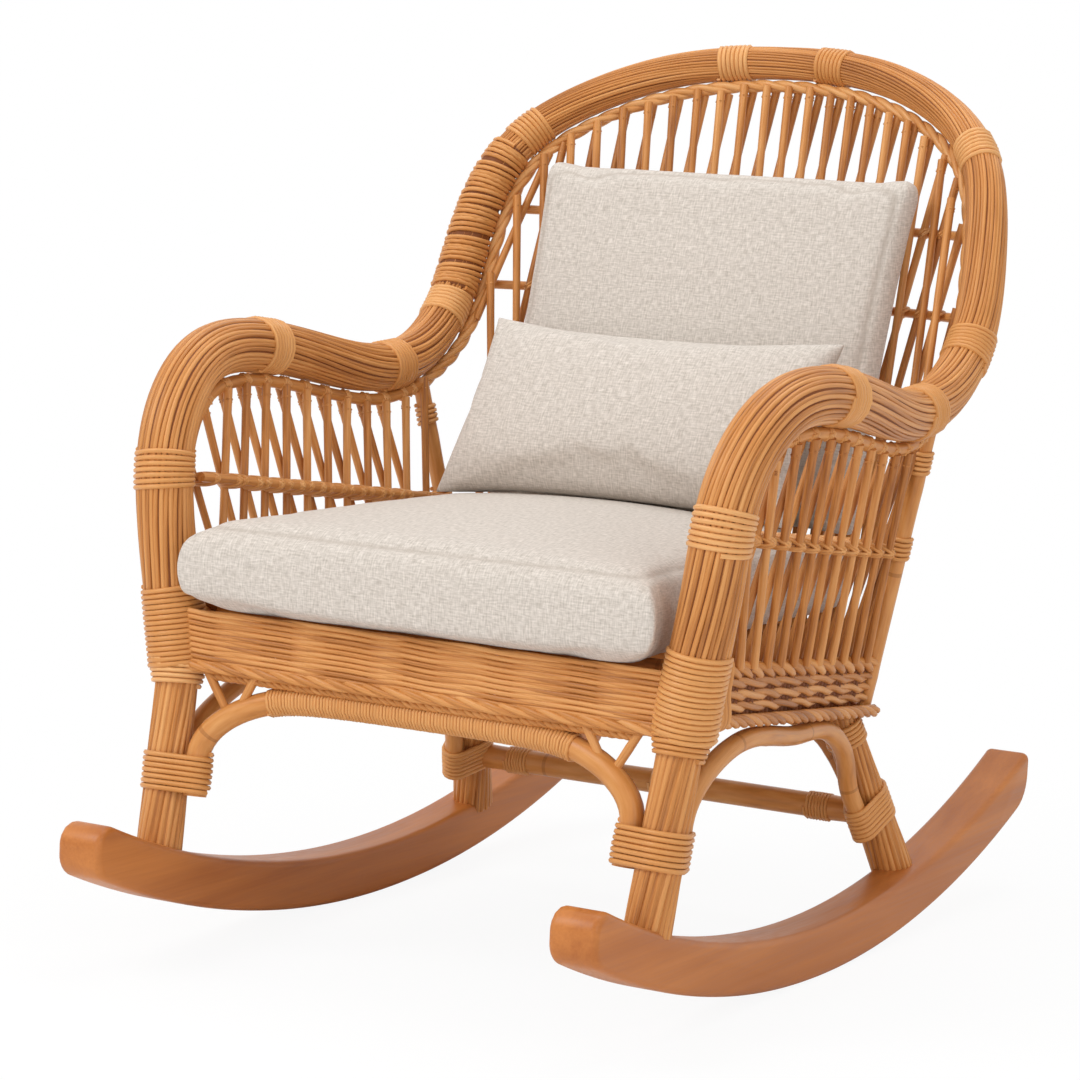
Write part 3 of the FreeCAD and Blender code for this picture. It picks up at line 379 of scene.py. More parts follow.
def wound_tree(name):
    """Strands that wind round lines at their girth, or lie along them where the pitch is long."""
    tree, given, dense = new_tree(
        name, Pitch=0.006, Strands=1, Strand_radius=0.0025, Share_of_girth=0.0, Variation=0.0, Wander=0.0,
        Wander_length=0.3, Spacing=0.0005, Sides=6, Seed=1, Material=None,
    )
    maths, vector = partial(calc, tree), partial(spin, tree)
    links = {"Geometry": dense, "Amount": given["Strands"]}
    copies = add(tree, "GeometryNodeDuplicateElements", links, domain="SPLINE")
    number = copies.outputs["Duplicate Index"]
    girth, length = girth_of(tree), spline(tree, "Length")
    turns = maths("ADD", maths("DIVIDE", length, given["Pitch"]), maths("DIVIDE", number, given["Strands"]))
    chance = chance_of(tree, number, given)
    swing = maths("ADD", maths("DIVIDE", length, given["Wander length"]), chance)
    swing = maths("SINE", maths("MULTIPLY", swing, TURN))
    angle = maths("ADD", maths("MULTIPLY", turns, TURN), maths("MULTIPLY", swing, given["Wander"]))
    normal, tangent = made(tree, "GeometryNodeInputNormal"), made(tree, "GeometryNodeInputTangent")
    first = vector("SCALE", normal, maths("COSINE", angle))
    second = vector("SCALE", vector("CROSS_PRODUCT", tangent, normal), maths("SINE", angle))
    unlike = maths("MULTIPLY", maths("SUBTRACT", chance, 0.5), given["Variation"])
    thick = maths("MULTIPLY", maths("MULTIPLY", girth, given["Share of girth"]), maths("ADD", unlike, 1.0))
    offset = vector("SCALE", vector("ADD", first, second), maths("SUBTRACT", girth, thick))
    moved = made(tree, "GeometryNodeSetPosition", {"Geometry": copies.outputs[0], "Offset": offset})
    cane_skin(tree, moved, maths("ADD", thick, given["Strand radius"]), given)
    return tree


def cane_tree(name):
    """Round canes along lines, with a slight swelling at their knots."""
    tree, given, dense = new_tree(
        name, Spacing=0.008, Knot_distance=0.21, Knot_swelling=0.06, Sides=12, Seed=1, Material=None
    )
    maths = partial(calc, tree)
    phase = maths("ADD", maths("DIVIDE", spline(tree, "Length"), given["Knot distance"]), 0.35)
    nearness = maths("ABSOLUTE", maths("SUBTRACT", maths("FRACT", phase), 0.5))
    bump = maths("POWER", maths("SUBTRACT", 1.0, nearness), 24.0)
    swelling = maths("ADD", maths("MULTIPLY", bump, given["Knot swelling"]), 1.0)
    cane_skin(tree, dense, maths("MULTIPLY", girth_of(tree), swelling), given)
    return tree


TREES = {"wound": ("Wound strands", wound_tree), "cane": ("Round canes", cane_tree)}


def evaluated(piece, **layers):
    graph = bpy.context.evaluated_depsgraph_get()
    return bpy.data.meshes.new_from_object(piece.evaluated_get(graph), depsgraph=graph, **layers)


def link(name, data):
    piece = bpy.data.objects.new(name, data)
    bpy.context.scene.collection.objects.link(piece)
    return piece


def put(piece, slot, *nodes, body="frame"):
    """Hangs a finished piece on its body, in the place of CAD nodes."""
    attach(piece, body)
    if nodes:
        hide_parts(*nodes)


def lay(name, kind, look, slot, runs, *nodes, **inputs):
    """Puts in place the plain mesh that a node tree makes from runs; inputs are named with _ for a space."""
    points, edges, girths = [], [], []
    for line, girth in runs:
        start = len(points)
        points.extend(tuple(place) for place in line)
        girths.extend(np.broadcast_to(girth, len(line)))
        edges.extend((k, k + 1) for k in range(start, len(points) - 1))
    lines = bpy.data.meshes.new(name + "_lines")
    lines.from_pydata(points, edges, [])
    lines.attributes.new("girth", "FLOAT", "POINT").data.foreach_set("value", np.array(girths, np.float32))
    source = link(name + "_lines", lines)
    label, make = TREES[kind]
    tree = bpy.data.node_groups.get(label) or make(label)
    modifier = source.modifiers.new(tree.name, "NODES")
    modifier.node_group = tree
    values = {key.replace("_", " "): value for key, value in inputs.items()}
    values["Material"] = finishes()[look]
    for item in tree.interface.items_tree:
        if item.item_type == "SOCKET" and item.in_out == "INPUT" and item.name in values:
            modifier[item.identifier] = values[item.name]
    mesh = evaluated(source, preserve_all_data_layers=True)
    bpy.data.objects.remove(source)
    bpy.data.meshes.remove(lines)
    if not mesh.polygons:
        raise RuntimeError(name + " came out empty")
    mesh.name = name
    put(link(name, mesh), slot, *nodes)


# Finishes


def new_finish(name):
    finish = bpy.data.materials.new(name)
    finish.use_nodes = True
    tree = finish.node_tree
    return finish, tree, tree.nodes["Principled BSDF"]


def attribute(tree, name):
    return made(tree, "ShaderNodeAttribute", None, "Fac", attribute_name=name)


def object_place(tree):
    return made(tree, "ShaderNodeTexCoord", None, "Object")


def combined(tree, *values):
    return made(tree, "ShaderNodeCombineXYZ", dict(enumerate(values)))


def scaled(tree, vector, *scale):
    return made(tree, "ShaderNodeMapping", {"Vector": vector, "Scale": scale})


def noise(tree, vector, scale, detail, **more):
    return made(tree, "ShaderNodeTexNoise", {"Vector": vector, "Scale": scale, "Detail": detail, **more})


def spread(tree, value, low, high, start=0.3, end=0.7):
    """A value from start to end carried over to low and high."""
    links = {"Value": value, "From Min": start, "From Max": end, "To Min": low, "To Max": high}
    return made(tree, "ShaderNodeMapRange", links)


def relief(tree, height, strength, distance):
    return made(tree, "ShaderNodeBump", {"Height": height, "Strength": strength, "Distance": distance})


def ramp(tree, factor, *stops):
    node = add(tree, "ShaderNodeValToRGB", {"Fac": factor})
    band = node.color_ramp
    while len(band.elements) < len(stops):
        band.elements.new(0.5)
    for element, (position, colour) in zip(band.elements, stops):
        element.position = position
        element.color = (*colour, 1)
    return node.outputs["Color"]


def tinted(tree, factor, colour, tint):
    return made(tree, "ShaderNodeMix", {0: factor, 6: colour, 7: (*tint, 1)}, 2, data_type="RGBA")


def either(tree, factor, first, second):
    return made(tree, "ShaderNodeMix", {0: factor, 2: first, 3: second}, data_type="FLOAT")


def cane_finish(name, dark, middle, light, gloss, knots=0.0):
    """Lacquered cane: its own shade, streaks along it and darker rings at the knots."""
    finish, tree, shader = new_finish(name)
    maths = partial(calc, tree)
    shade, length, around = (attribute(tree, label) for label in ("shade", "along", "around"))
    scales = ((length, 14.0), (around, 7.0), (shade, 60.0))
    streaks = noise(tree, combined(tree, *(maths("MULTIPLY", *scale) for scale in scales)), 1.6, 4.0)
    patches = noise(tree, object_place(tree), 9.0, 2.0)
    level = maths("ADD", maths("MULTIPLY", shade, 0.34), maths("MULTIPLY", streaks, 0.66))
    level = maths("ADD", level, maths("MULTIPLY", maths("SUBTRACT", patches, 0.5), 0.4))
    colour = ramp(tree, level, (0.12, dark), (0.5, middle), (0.92, light))
    ring = maths("FRACT", maths("ADD", maths("DIVIDE", length, 0.19), maths("MULTIPLY", shade, 0.9)))
    ring = maths("LESS_THAN", maths("ABSOLUTE", maths("SUBTRACT", ring, 0.5)), 0.011)
    looks = {
        "Base Color": tinted(tree, maths("MULTIPLY", ring, knots), colour, dark),
        "Roughness": spread(tree, streaks, gloss - 0.06, gloss + 0.1),
        "Normal": relief(tree, streaks, 0.25, 0.0006),
        "Specular IOR Level": 0.3,
        "Coat Weight": 0.05,
        "Coat Roughness": 0.3,
    }
    feed(tree, shader, looks)
    return finish


def wood_finish(name, dark, light):
    """Lacquered solid wood with its grain along the runner."""
    finish, tree, shader = new_finish(name)
    place = object_place(tree)
    figure = noise(tree, scaled(tree, place, 26.0, 1.6, 26.0), 1.3, 5.0, Distortion=0.6)
    pores = noise(tree, scaled(tree, place, 420.0, 9.0, 420.0), 1.0, 2.0)
    level = calc(tree, "ADD", calc(tree, "MULTIPLY", figure, 0.8), calc(tree, "MULTIPLY", pores, 0.25))
    looks = {
        "Base Color": ramp(tree, level, (0.35, dark), (0.72, light)),
        "Roughness": spread(tree, pores, 0.34, 0.48),
        "Normal": relief(tree, pores, 0.15, 0.0005),
        "Specular IOR Level": 0.3,
        "Coat Weight": 0.06,
        "Coat Roughness": 0.25,
    }
    feed(tree, shader, looks)
    return finish


THREADS_ALONG, THREADS_ACROSS, FACING = 115.0, 620.0, 0.72


def linen_finish(name, dark, light, seam_shade_colour):
    """Coarse linen: slubby threads two ways across each face, with painted shade in the seams."""
    finish, tree, shader = new_finish(name)
    maths = partial(calc, tree)
    place = add(tree, "ShaderNodeSeparateXYZ", {0: object_place(tree)}).outputs
    normal = made(tree, "ShaderNodeNewGeometry", None, "Normal")
    facing = add(tree, "ShaderNodeSeparateXYZ", {0: normal}).outputs
    weaves = []
    for first, second in ((0, 1), (0, 2), (1, 2)):
        threads = []
        for run, over in ((first, second), (second, first)):
            length = maths("MULTIPLY", place[run], THREADS_ALONG)
            width = maths("MULTIPLY", place[over], THREADS_ACROSS)
            threads.append(noise(tree, combined(tree, length, width, 3.0 * run + over), 1.0, 2.0))
        weaves.append(maths("MULTIPLY", maths("ADD", *threads), 0.5))
    upward, sideward = (maths("GREATER_THAN", maths("ABSOLUTE", facing[axis]), FACING) for axis in (2, 0))
    weave = either(tree, sideward, either(tree, upward, weaves[1], weaves[0]), weaves[2])
    colour = ramp(tree, weave, (0.3, dark), (0.68, light))
    looks = {
        # Painted shade in the seams, mixed over the weave towards the seam colour.
        "Base Color": tinted(tree, attribute(tree, "seam_shade"), colour, seam_shade_colour),
        "Normal": relief(tree, weave, 0.6, 0.0010),
        "Roughness": 0.92,
        "Specular IOR Level": 0.2,
        "Sheen Weight": 0.12,
        "Sheen Roughness": 0.6,
    }
    feed(tree, shader, looks)
    return finish


def finishes():
    """The chair's finishes by slot, made once from the chosen colours."""
    scene = bpy.context.scene
    tones = scene.rattan_tones
    cane = tones.cane_dark[:], tones.cane_middle[:], tones.cane_light[:]
    plans = {
        "rattan_pole": (cane_finish, "Split cane", *cane, 0.38),
        "pole": (cane_finish, "Whole cane", *cane, 0.34, 0.4),
        "reed": (cane_finish, "Reed", *cane, 0.42),
        "binding_reed": (cane_finish, "Binding cane", cane[1], tones.cane_bound[:], tones.cane_pale[:], 0.36),
        # Painted shade: the inner canes take the dark gap colour, which stands in for the shade between the strands
        # round them.
        "core": (cane_finish, "Inner cane", tones.gap[:], tones.gap[:], cane[0], 0.6),
        "rocker_wood": (wood_finish, "Runner wood", tones.wood_dark[:], tones.wood_light[:]),
        "linen": (linen_finish, "Linen", tones.linen_dark[:], tones.linen_light[:], tones.linen_seam_shade[:]),
    }
    known = scene.get("rattan_finishes")
    if known is None:
        known = scene["rattan_finishes"] = {slot: make(*plan).name for slot, (make, *plan) in plans.items()}
    return {slot: bpy.data.materials[known[slot]] for slot in plans}


# Forms of the runners and cushions


def rounded_corner(corner, before, after, radius):
    """Points of the rounding at a corner between two directions that lead away from it."""
    before, after = unit(before), unit(after)
    half = math.acos(np.clip(np.dot(before, after), -1, 1)) / 2
    reach = radius / math.tan(half)
    start, end = corner + before * reach, corner + after * reach
    centre = corner + unit(before + after) * (radius / math.sin(half))
    return [centre + unit(start + (end - start) * share - centre) * radius for share in np.linspace(0, 1, 7)]


RUNNER_CORNERS = (
    (RUNNER_REACH, 0, 0.040),
    (RUNNER_REACH, RUNNER_DEPTH, 0.009),
    (-RUNNER_REACH, RUNNER_DEPTH, 0.020),
    (-RUNNER_REACH, 0, 0.024),
)


def runner_outline():
    """Side outline of a runner in Y and Z: two arcs with rounded ends."""
    ends = []
    for y, inset, radius in RUNNER_CORNERS:
        corner = np.array((y, runner_height(y, inset)))
        inner = y - math.copysign(0.03, y)
        arc = np.array((inner, runner_height(inner, inset))) - corner
        upright = np.array((0.0, 1.0 if inset == 0 else -1.0))
        first, second = (arc, upright) if (inset == 0) == (y > 0) else (upright, arc)
        ends.append(rounded_corner(corner, first, second, radius))
    outline = []
    for number, points in enumerate(ends):
        outline.extend(points)
        if number in (1, 3):
            y = np.linspace(points[-1][0], ends[(number + 1) % 4][0][0], 62)[1:-1]
            outline.extend(np.column_stack((y, runner_height(y, RUNNER_CORNERS[number][1]))))
    return np.array(outline)


def runner_mesh(name, middle, edge):
    """A runner with all its long edges rounded."""
    outline = runner_outline()
    ways = np.roll(outline, -1, axis=0) - np.roll(outline, 1, axis=0)
    inward = np.column_stack((-ways[:, 1], ways[:, 0]))
    inward /= np.linalg.norm(inward, axis=1, keepdims=True)
    turns = np.radians(np.linspace(0, 90, 6))
    rounding = [(RUNNER_HALF - edge * (1 - math.cos(t)), edge * (1 - math.sin(t))) for t in turns]
    profile = sorted((-x, inset) for x, inset in rounding) + sorted(rounding)
    count = len(outline)
    vertices = []
    for x, inset in profile:
        vertices += [(middle + x, y, z) for y, z in outline + inward * inset]
    faces = []
    for ring in range(len(profile) - 1):
        low, high = ring * count, (ring + 1) * count
        for k in range(count):
            other = (k + 1) % count
            faces.append((low + k, low + other, high + other, high + k))
    faces.append(tuple(range(count)))
    faces.append(tuple(range(len(vertices) - count, len(vertices))))
    mesh = bpy.data.meshes.new(name)
    mesh.from_pydata(vertices, [], faces)
    return tidied(mesh)


def tidied(mesh):
    """Merges doubles, turns all faces outwards and shades them smooth."""
    work = bmesh.new()
    work.from_mesh(mesh)
    bmesh.ops.remove_doubles(work, verts=work.verts, dist=1e-6)
    bmesh.ops.recalc_face_normals(work, faces=work.faces)
    work.to_mesh(mesh)
    work.free()
    mesh.shade_smooth()
    return mesh


def places_of(mesh, field="co"):
    """Places of a mesh's points, or another field of three numbers."""
    values = np.empty(len(mesh.vertices) * 3, np.float32)
    mesh.vertices.foreach_get(field, values)
    return values.reshape(-1, 3).astype(float)


normals_of = partial(places_of, field="normal")


def give_places(mesh, places):
    mesh.vertices.foreach_set("co", places.astype(np.float32).ravel())
    mesh.update()


def swap_mesh(piece, mesh):
    old = piece.data
    piece.modifiers.clear()
    piece.data = mesh
    bpy.data.meshes.remove(old)


def ease(piece, passes):
    smooth = piece.modifiers.new("Ease", "SMOOTH")
    smooth.factor = 0.5
    smooth.iterations = passes


COVER_SHRINK = 0.004
FILLING_PRESSURE = 4.0
FILLING_FRAMES = 20


def filled_cushion(name, node, voxel, cap):
    """A stuffed cover: the solid's form remeshed, drawn in a little, then blown up by its filling."""
    piece = link(name, tidied(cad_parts[node].data.copy()))
    remesh = piece.modifiers.new("Cover", "REMESH")
    remesh.mode = "VOXEL"
    remesh.voxel_size = voxel
    ease(piece, 14)
    swap_mesh(piece, evaluated(piece))
    give_places(piece.data, places_of(piece.data) - normals_of(piece.data) * COVER_SHRINK)
    give_places(piece.data, blow_up(piece, cap))
    ease(piece, 10)
    refine(piece)
    return piece


def blow_up(piece, cap):
    """Places of a cover's points once its filling has pressed it out, none of them moved further than a cap."""
    places = places_of(piece.data)
    scene = bpy.context.scene
    cloth = piece.modifiers.new("Filling", "CLOTH")
    cloth.settings.use_pressure = True
    cloth.settings.uniform_pressure_force = FILLING_PRESSURE
    cloth.settings.effector_weights.gravity = 0
    for number in range(1, FILLING_FRAMES + 1):
        scene.frame_set(number)
    blown = evaluated(piece)
    moves = places_of(blown) - places
    reach = np.linalg.norm(moves, axis=1, keepdims=True)
    bpy.data.meshes.remove(blown)
    piece.modifiers.clear()
    scene.frame_set(1)
    return places + moves * np.minimum(1, cap / np.maximum(reach, 1e-9))


def refine(piece):
    """Divides a cover's faces once, after any easing."""
    finer = piece.modifiers.new("Finer", "SUBSURF")
    finer.levels = finer.render_levels = 1
    swap_mesh(piece, evaluated(piece))
    piece.data.shade_smooth()


def fitted_to(places, low, high):
    """Places stretched to fill a box."""
    start = places.min(axis=0)
    return low + (places - start) / np.ptp(places, axis=0) * (high - low)


def lean_axes(tilt):
    """Directions of a leaning cushion: across it, up it and through it to the rear."""
    sine, cosine = math.sin(math.radians(tilt)), math.cos(math.radians(tilt))
    return np.array(((1, 0, 0), (0, sine, cosine), (0, cosine, -sine)))


def sewn_sheets(name, half, columns=64, rows=36):
    """Two sheets sewn together round their edges and lightly filled, their sides drawn in between the corners."""
    u, v = np.meshgrid(np.linspace(-1, 1, columns + 1), np.linspace(-1, 1, rows + 1), indexing="ij")
    x = u * half[0] * (1 - 0.03 * (1 - v * v))
    y = v * half[1] * (1 - 0.05 * (1 - u * u))
    fill = half[2] * ((1 - np.abs(u) ** 2.6) * (1 - np.abs(v) ** 2.4)) ** 0.5
    edge = (np.abs(u) == 1) | (np.abs(v) == 1)
    vertices = [(x[i, j], y[i, j], fill[i, j]) for i in range(columns + 1) for j in range(rows + 1)]
    front = np.arange(len(vertices)).reshape(columns + 1, rows + 1)
    back = front.copy()
    for i, j in zip(*np.where(~edge)):
        back[i, j] = len(vertices)
        vertices.append((x[i, j], y[i, j], -fill[i, j]))
    faces = []
    for sheet in (front, back):
        corners = (sheet[:-1, :-1], sheet[1:, :-1], sheet[1:, 1:], sheet[:-1, 1:])
        faces += np.stack(corners, axis=-1).reshape(-1, 4).tolist()
    mesh = bpy.data.meshes.new(name)
    mesh.from_pydata(vertices, [], faces)
    return tidied(mesh)


def sew(piece, seams, depth, width):
    """Draws the cover in along its seams and paints shade into them; seams holds each vertex's distance from the
    nearest one.
    """
    pull = np.exp(-((seams / width) ** 2))
    give_places(piece.data, places_of(piece.data) - normals_of(piece.data) * (pull * depth)[:, None])
    # Painted shade: darkest on the seam line and fading off to each side, at half strength.
    dark = np.exp(-((seams / (0.55 * width)) ** 2)).astype(np.float32)
    piece.data.attributes.new("seam_shade", "FLOAT", "POINT").data.foreach_set("value", dark * 0.5)


def dress_cushion(piece, node):
    piece.data.materials.clear()
    piece.data.materials.append(finishes()["linen"])
    put(piece, "linen", node, body=node)


def wound_round(circles, axis, height, turns=7, steps=30):
    """Line of a binding drawn tight round poles, each a centre and a radius, at the height of the first of them."""
    base = circles[0][0]
    axis = unit(axis)
    side = unit(np.array((1.0, 0, 0)) - axis * axis[0])
    other = np.cross(axis, side)
    rim = []
    for centre, radius in circles:
        x, y = np.dot(centre - base, side), np.dot(centre - base, other)
        for angle in np.linspace(0, TURN, 48, endpoint=False):
            rim.append((x + radius * math.cos(angle), y + radius * math.sin(angle)))
    ring = np.array(hull(rim))
    ring = np.vstack((ring, ring[:1]))
    lengths = np.concatenate(([0.0], np.cumsum(np.linalg.norm(np.diff(ring, axis=0), axis=1))))
    line = []
    for share in np.linspace(0, 1, turns * steps + 1):
        t = (share * turns) % 1.0 * lengths[-1]
        x, y = np.interp(t, lengths, ring[:, 0]), np.interp(t, lengths, ring[:, 1])
        line.append(base + side * x + other * y + axis * ((share - 0.5) * height))
    return np.array(line)


KNOT_TILT, KNOT_SHIFT, KNOT_HALF, KNOT_ROOM = 0.75, 0.0014, 0.0070, 0.0058


def knot(first, second, way, girth, tilts):
    """Loops of a binding drawn over the place where two poles meet, each tilted from the way of the first."""
    out = unit(second - first)
    way = unit(way - out * np.dot(way, out))
    rise = np.cross(out, way)
    depth = np.linalg.norm(second - first) / 2 + KNOT_ROOM
    turn = np.linspace(0, TURN, 25)[:, None]
    loops = []
    for tilt in tilts:
        lie = way * math.cos(tilt) + rise * math.sin(tilt)
        aside = rise * math.cos(tilt) - way * math.sin(tilt)
        for shift in (-KNOT_SHIFT, KNOT_SHIFT):
            ring = (first + second) / 2 + aside * shift + out * np.cos(turn) * depth + lie * np.sin(turn) * KNOT_HALF
            loops.append((ring, girth))
    return loops


def meeting(a, b, c, d):
    """Places on two straight poles where their lines come nearest."""
    u, v, w = b - a, d - c, a - c
    scale = (u @ u) * (v @ v) - (u @ v) ** 2
    s = ((u @ v) * (v @ w) - (v @ v) * (u @ w)) / scale
    t = ((u @ u) * (v @ w) - (u @ v) * (u @ w)) / scale
    return a + u * s, c + v * t


def hull(points):
    """Corners of the line drawn tight round points."""
    ordered = sorted(set(map(tuple, np.round(points, 7))))
    corners = []
    for sweep in (ordered, ordered[::-1]):
        chain = []
        for p in sweep:
            while len(chain) > 1:
                a, b = chain[-2], chain[-1]
                if (b[0] - a[0]) * (p[1] - b[1]) - (b[1] - a[1]) * (p[0] - b[0]) > 0:
                    break
                chain.pop()
            chain.append(p)
        corners += chain[:-1]
    return corners


# Choices


def number_of(name, description, count):
    return bpy.props.IntProperty(name=name, description=description, default=count, min=6)


def span(name, description, size):
    return bpy.props.FloatProperty(name=name, description=description, default=size, unit="LENGTH")


def tone(name, description, colour):
    return bpy.props.FloatVectorProperty(
        name=name, description=description, subtype="COLOR", size=3, min=0, max=1, default=colour
    )


class RattanSizes(bpy.types.PropertyGroup):
    rail_strands: number_of("Rail strands", "Canes round the rail", 34)
    leg_strands: number_of("Leg strands", "Canes round a leg", 20)
    binding_pitch: span("Binding pitch", "One turn of a binding to the next", 0.0052)
    binding_width: span("Binding width", "Length of a binding along the rail", 0.038)
    binding_cane: span("Binding cane", "Radius of the cane that binds", 0.0027)
    liner_pitch: span("Liner pitch", "One turn of the twisted hoop liner to the next", 0.078)
    weave_pitch: span("Weave pitch", "One twist of a woven row to the next", 0.104)
    runner_edge: span("Runner edge", "Rounding of a runner's long edges", 0.007)
    seam_depth: span("Seam depth", "How far a seam draws the cover in", 0.0012)


class RattanTones(bpy.types.PropertyGroup):
    cane_dark: tone("Dark cane", "Darkest streaks of the cane", (0.235, 0.068, 0.013))
    cane_middle: tone("Cane", "Usual colour of the cane", (0.57, 0.231, 0.058))
    cane_light: tone("Light cane", "Palest streaks of the cane", (0.78, 0.40, 0.145))
    cane_bound: tone("Binding", "Usual colour of the bindings", (0.67, 0.312, 0.098))
    cane_pale: tone("Pale cane", "Palest streaks of the bindings", (0.85, 0.485, 0.205))
    # Painted shade: the gap colour is darker than any cane, so the inner canes seen between the strands stand in for
    # the shade in those gaps.
    gap: tone("Gap", "Inner canes between the strands", (0.20, 0.058, 0.012))
    wood_dark: tone("Dark wood", "Dark grain of the runners", (0.40, 0.122, 0.024))
    wood_light: tone("Light wood", "Pale grain of the runners", (0.56, 0.198, 0.045))
    linen_dark: tone("Dark thread", "Darker threads of the linen", (0.415, 0.364, 0.312))
    linen_light: tone("Light thread", "Paler threads of the linen", (0.738, 0.672, 0.608))
    # Painted shade: the colour the linen is darkened towards in its seams, standing in for the shade in their creases.
    linen_seam_shade: tone("Seam", "Colour in the seams", (0.40, 0.34, 0.285))


# Pieces


class RATTAN_OT_rails(bpy.types.Operator):
    """Bundled rail round the arms and the back, with its bindings and the wrapped feet of its posts"""

    bl_idname = "rattan.rails"
    bl_label = "Rails"

    def execute(self, context):
        sizes = context.scene.rattan_sizes
        line, girth = rail_line(0, 2, 0.012)
        core = [(line, girth * CORE_SHARE)]
        # The core carries painted shade, seen in the gaps between the rail's strands.
        lay("rail_core", "cane", "core", "rattan_pole", core, Spacing=0.014, Knot_swelling=0.0)
        nodes = *pair("arm_rail"), "back_rail"
        lay(
            "rail_strands", "wound", "rattan_pole", "rattan_pole", [(line, girth)], *nodes,
            Pitch=2.6, Strands=sizes.rail_strands, Strand_radius=0.0, Share_of_girth=0.0905, Variation=0.2,
            Wander=0.035, Wander_length=0.33, Spacing=0.011, Sides=7, Seed=4,
        )
        pitch = sizes.binding_pitch
        winding = {"Pitch": pitch, "Strand_radius": sizes.binding_cane, "Spacing": pitch / 16}
        reach = sizes.binding_width / 2 / RAIL_HALF
        bands = []
        for middle in BAND_SHARES + tuple(2 - share for share in BAND_SHARES):
            line, girth = rail_line(middle - reach, middle + reach, 0.004)
            bands.append((line, girth - 0.0002))
        lay("rail_bands", "wound", "binding_reed", "binding_reed", bands, "rail_bindings", Seed=7, **winding)
        line, girth = rail_line(0.0, 0.059, 0.004)
        feet = both([(line, girth + 0.0004)])
        nodes = pair("corner_wrap_front")
        lay("post_wraps", "wound", "binding_reed", "binding_reed", feet, *nodes, Seed=9, **winding)
        line, girth = rail_line(2 - 0.748, 2 - 0.617)
        # The sleeve carries painted shade, seen between the wraps over it.
        lay("hoop_sleeve", "cane", "core", "rattan_pole", [(line, girth + 0.0006)], Knot_swelling=0.0)
        lay(
            "hoop_wraps", "wound", "rattan_pole", "rattan_pole", [(line, girth + 0.0012)],
            Pitch=0.0176, Strands=3, Strand_radius=0.0027, Wander=0.8, Wander_length=0.041, Spacing=0.0012, Seed=3,
        )
        return {"FINISHED"}


class RATTAN_OT_liners(bpy.types.Operator):
    """Thin poles along the inside of the arms, tied at each reed, and the twisted liner of the hoop"""

    bl_idname = "rattan.liners"
    bl_label = "Liners"

    def execute(self, context):
        arms = both([(line_of(ARM_LINER), 0.0064)])
        lay("arm_liners", "cane", "reed", "rattan_pole", arms, *pair("arm_liner"), Seed=11, Knot_swelling=0.03)
        ties = []
        for side, turn in zip(SIDES, (1, MIRROR)):
            line = line_of(ARM_LINER, step=0.002) * turn
            for _, head in bars_of("side_lattice_" + side):
                near = np.argmin(np.linalg.norm(line - head, axis=1))
                near = min(max(near, 2), len(line) - 3)
                ties.append((line[near - 2 : near + 3], 0.0068))
        lay(
            "liner_ties", "wound", "binding_reed", "binding_reed", ties,
            Pitch=0.0034, Strand_radius=0.0016, Spacing=0.0006, Sides=5, Seed=12,
        )
        lay(
            "hoop_liner", "wound", "binding_reed", "rattan_pole", [(line_of(BACK_LINER), 0.0031)], "back_liner",
            Pitch=context.scene.rattan_sizes.liner_pitch, Strands=3, Strand_radius=0.0043, Spacing=0.004,
            Sides=10, Seed=13,
        )
        return {"FINISHED"}


class RATTAN_OT_posts(bpy.types.Operator):
    """Rear posts with their bindings, sills under the reeds, and the poles that the reeds are tied to"""

    bl_idname = "rattan.posts"
    bl_label = "Posts, sills and girts"

    def execute(self, context):
        pitch = context.scene.rattan_sizes.binding_pitch
        posts = both([(straight(POST_FOOT, post_at(0.548)), 0.009)])
        lay("rear_posts", "cane", "pole", "rattan_pole", posts, *pair("rear_post"), Seed=21)
        rings = both([(straight(post_at(low), post_at(low + 0.022), 0.004), 0.0101) for low in (0.406, 0.497)])
        lay(
            "post_rings", "wound", "binding_reed", "binding_reed", rings, "rear_post_bindings",
            Pitch=pitch, Strand_radius=0.0024, Spacing=pitch / 14, Seed=22,
        )
        sills = both([(straight(SILL_FRONT, SILL_REAR), 0.0048)]) + [(between_posts(SILL_Z), 0.0048)]
        lay(
            "sill_twists", "wound", "rattan_pole", "rattan_pole", sills, *pair("side_sill"), "back_sill",
            Pitch=0.088, Strands=3, Strand_radius=0.0045, Spacing=0.004, Sides=9, Seed=23,
        )
        girts = both([(straight(GIRT_FRONT, GIRT_REAR), GIRT_GIRTH)])
        girts += [(self.back_girt(z, half_width), GIRT_GIRTH) for z, half_width in BACK_GIRTS]
        nodes = *pair("side_girt"), "back_girts"
        lay("girt_canes", "cane", "rattan_pole", "rattan_pole", girts, *nodes, Sides=8, Seed=24)
        return {"FINISHED"}

    def back_girt(self, z, half_width):
        """A pole across the back; where it meets the liner, its ends bend forward to it."""
        line = bowed(half_width, z, GIRT_SETBACK)
        if z < HOOP_START_Z:
            return line
        hoop = line_of(BACK_LINER, 0, 0.5, 0.002)
        end = hoop[np.argmin(np.abs(hoop[:, 2] - z))]
        middle = line[0] * 0.45 + end * 0.55 + (0.006, 0.008, 0)
        bend = line_of(fit([end, middle, line[0]]), step=0.008)[:-1]
        return np.vstack((bend, line, bend[::-1] * MIRROR))


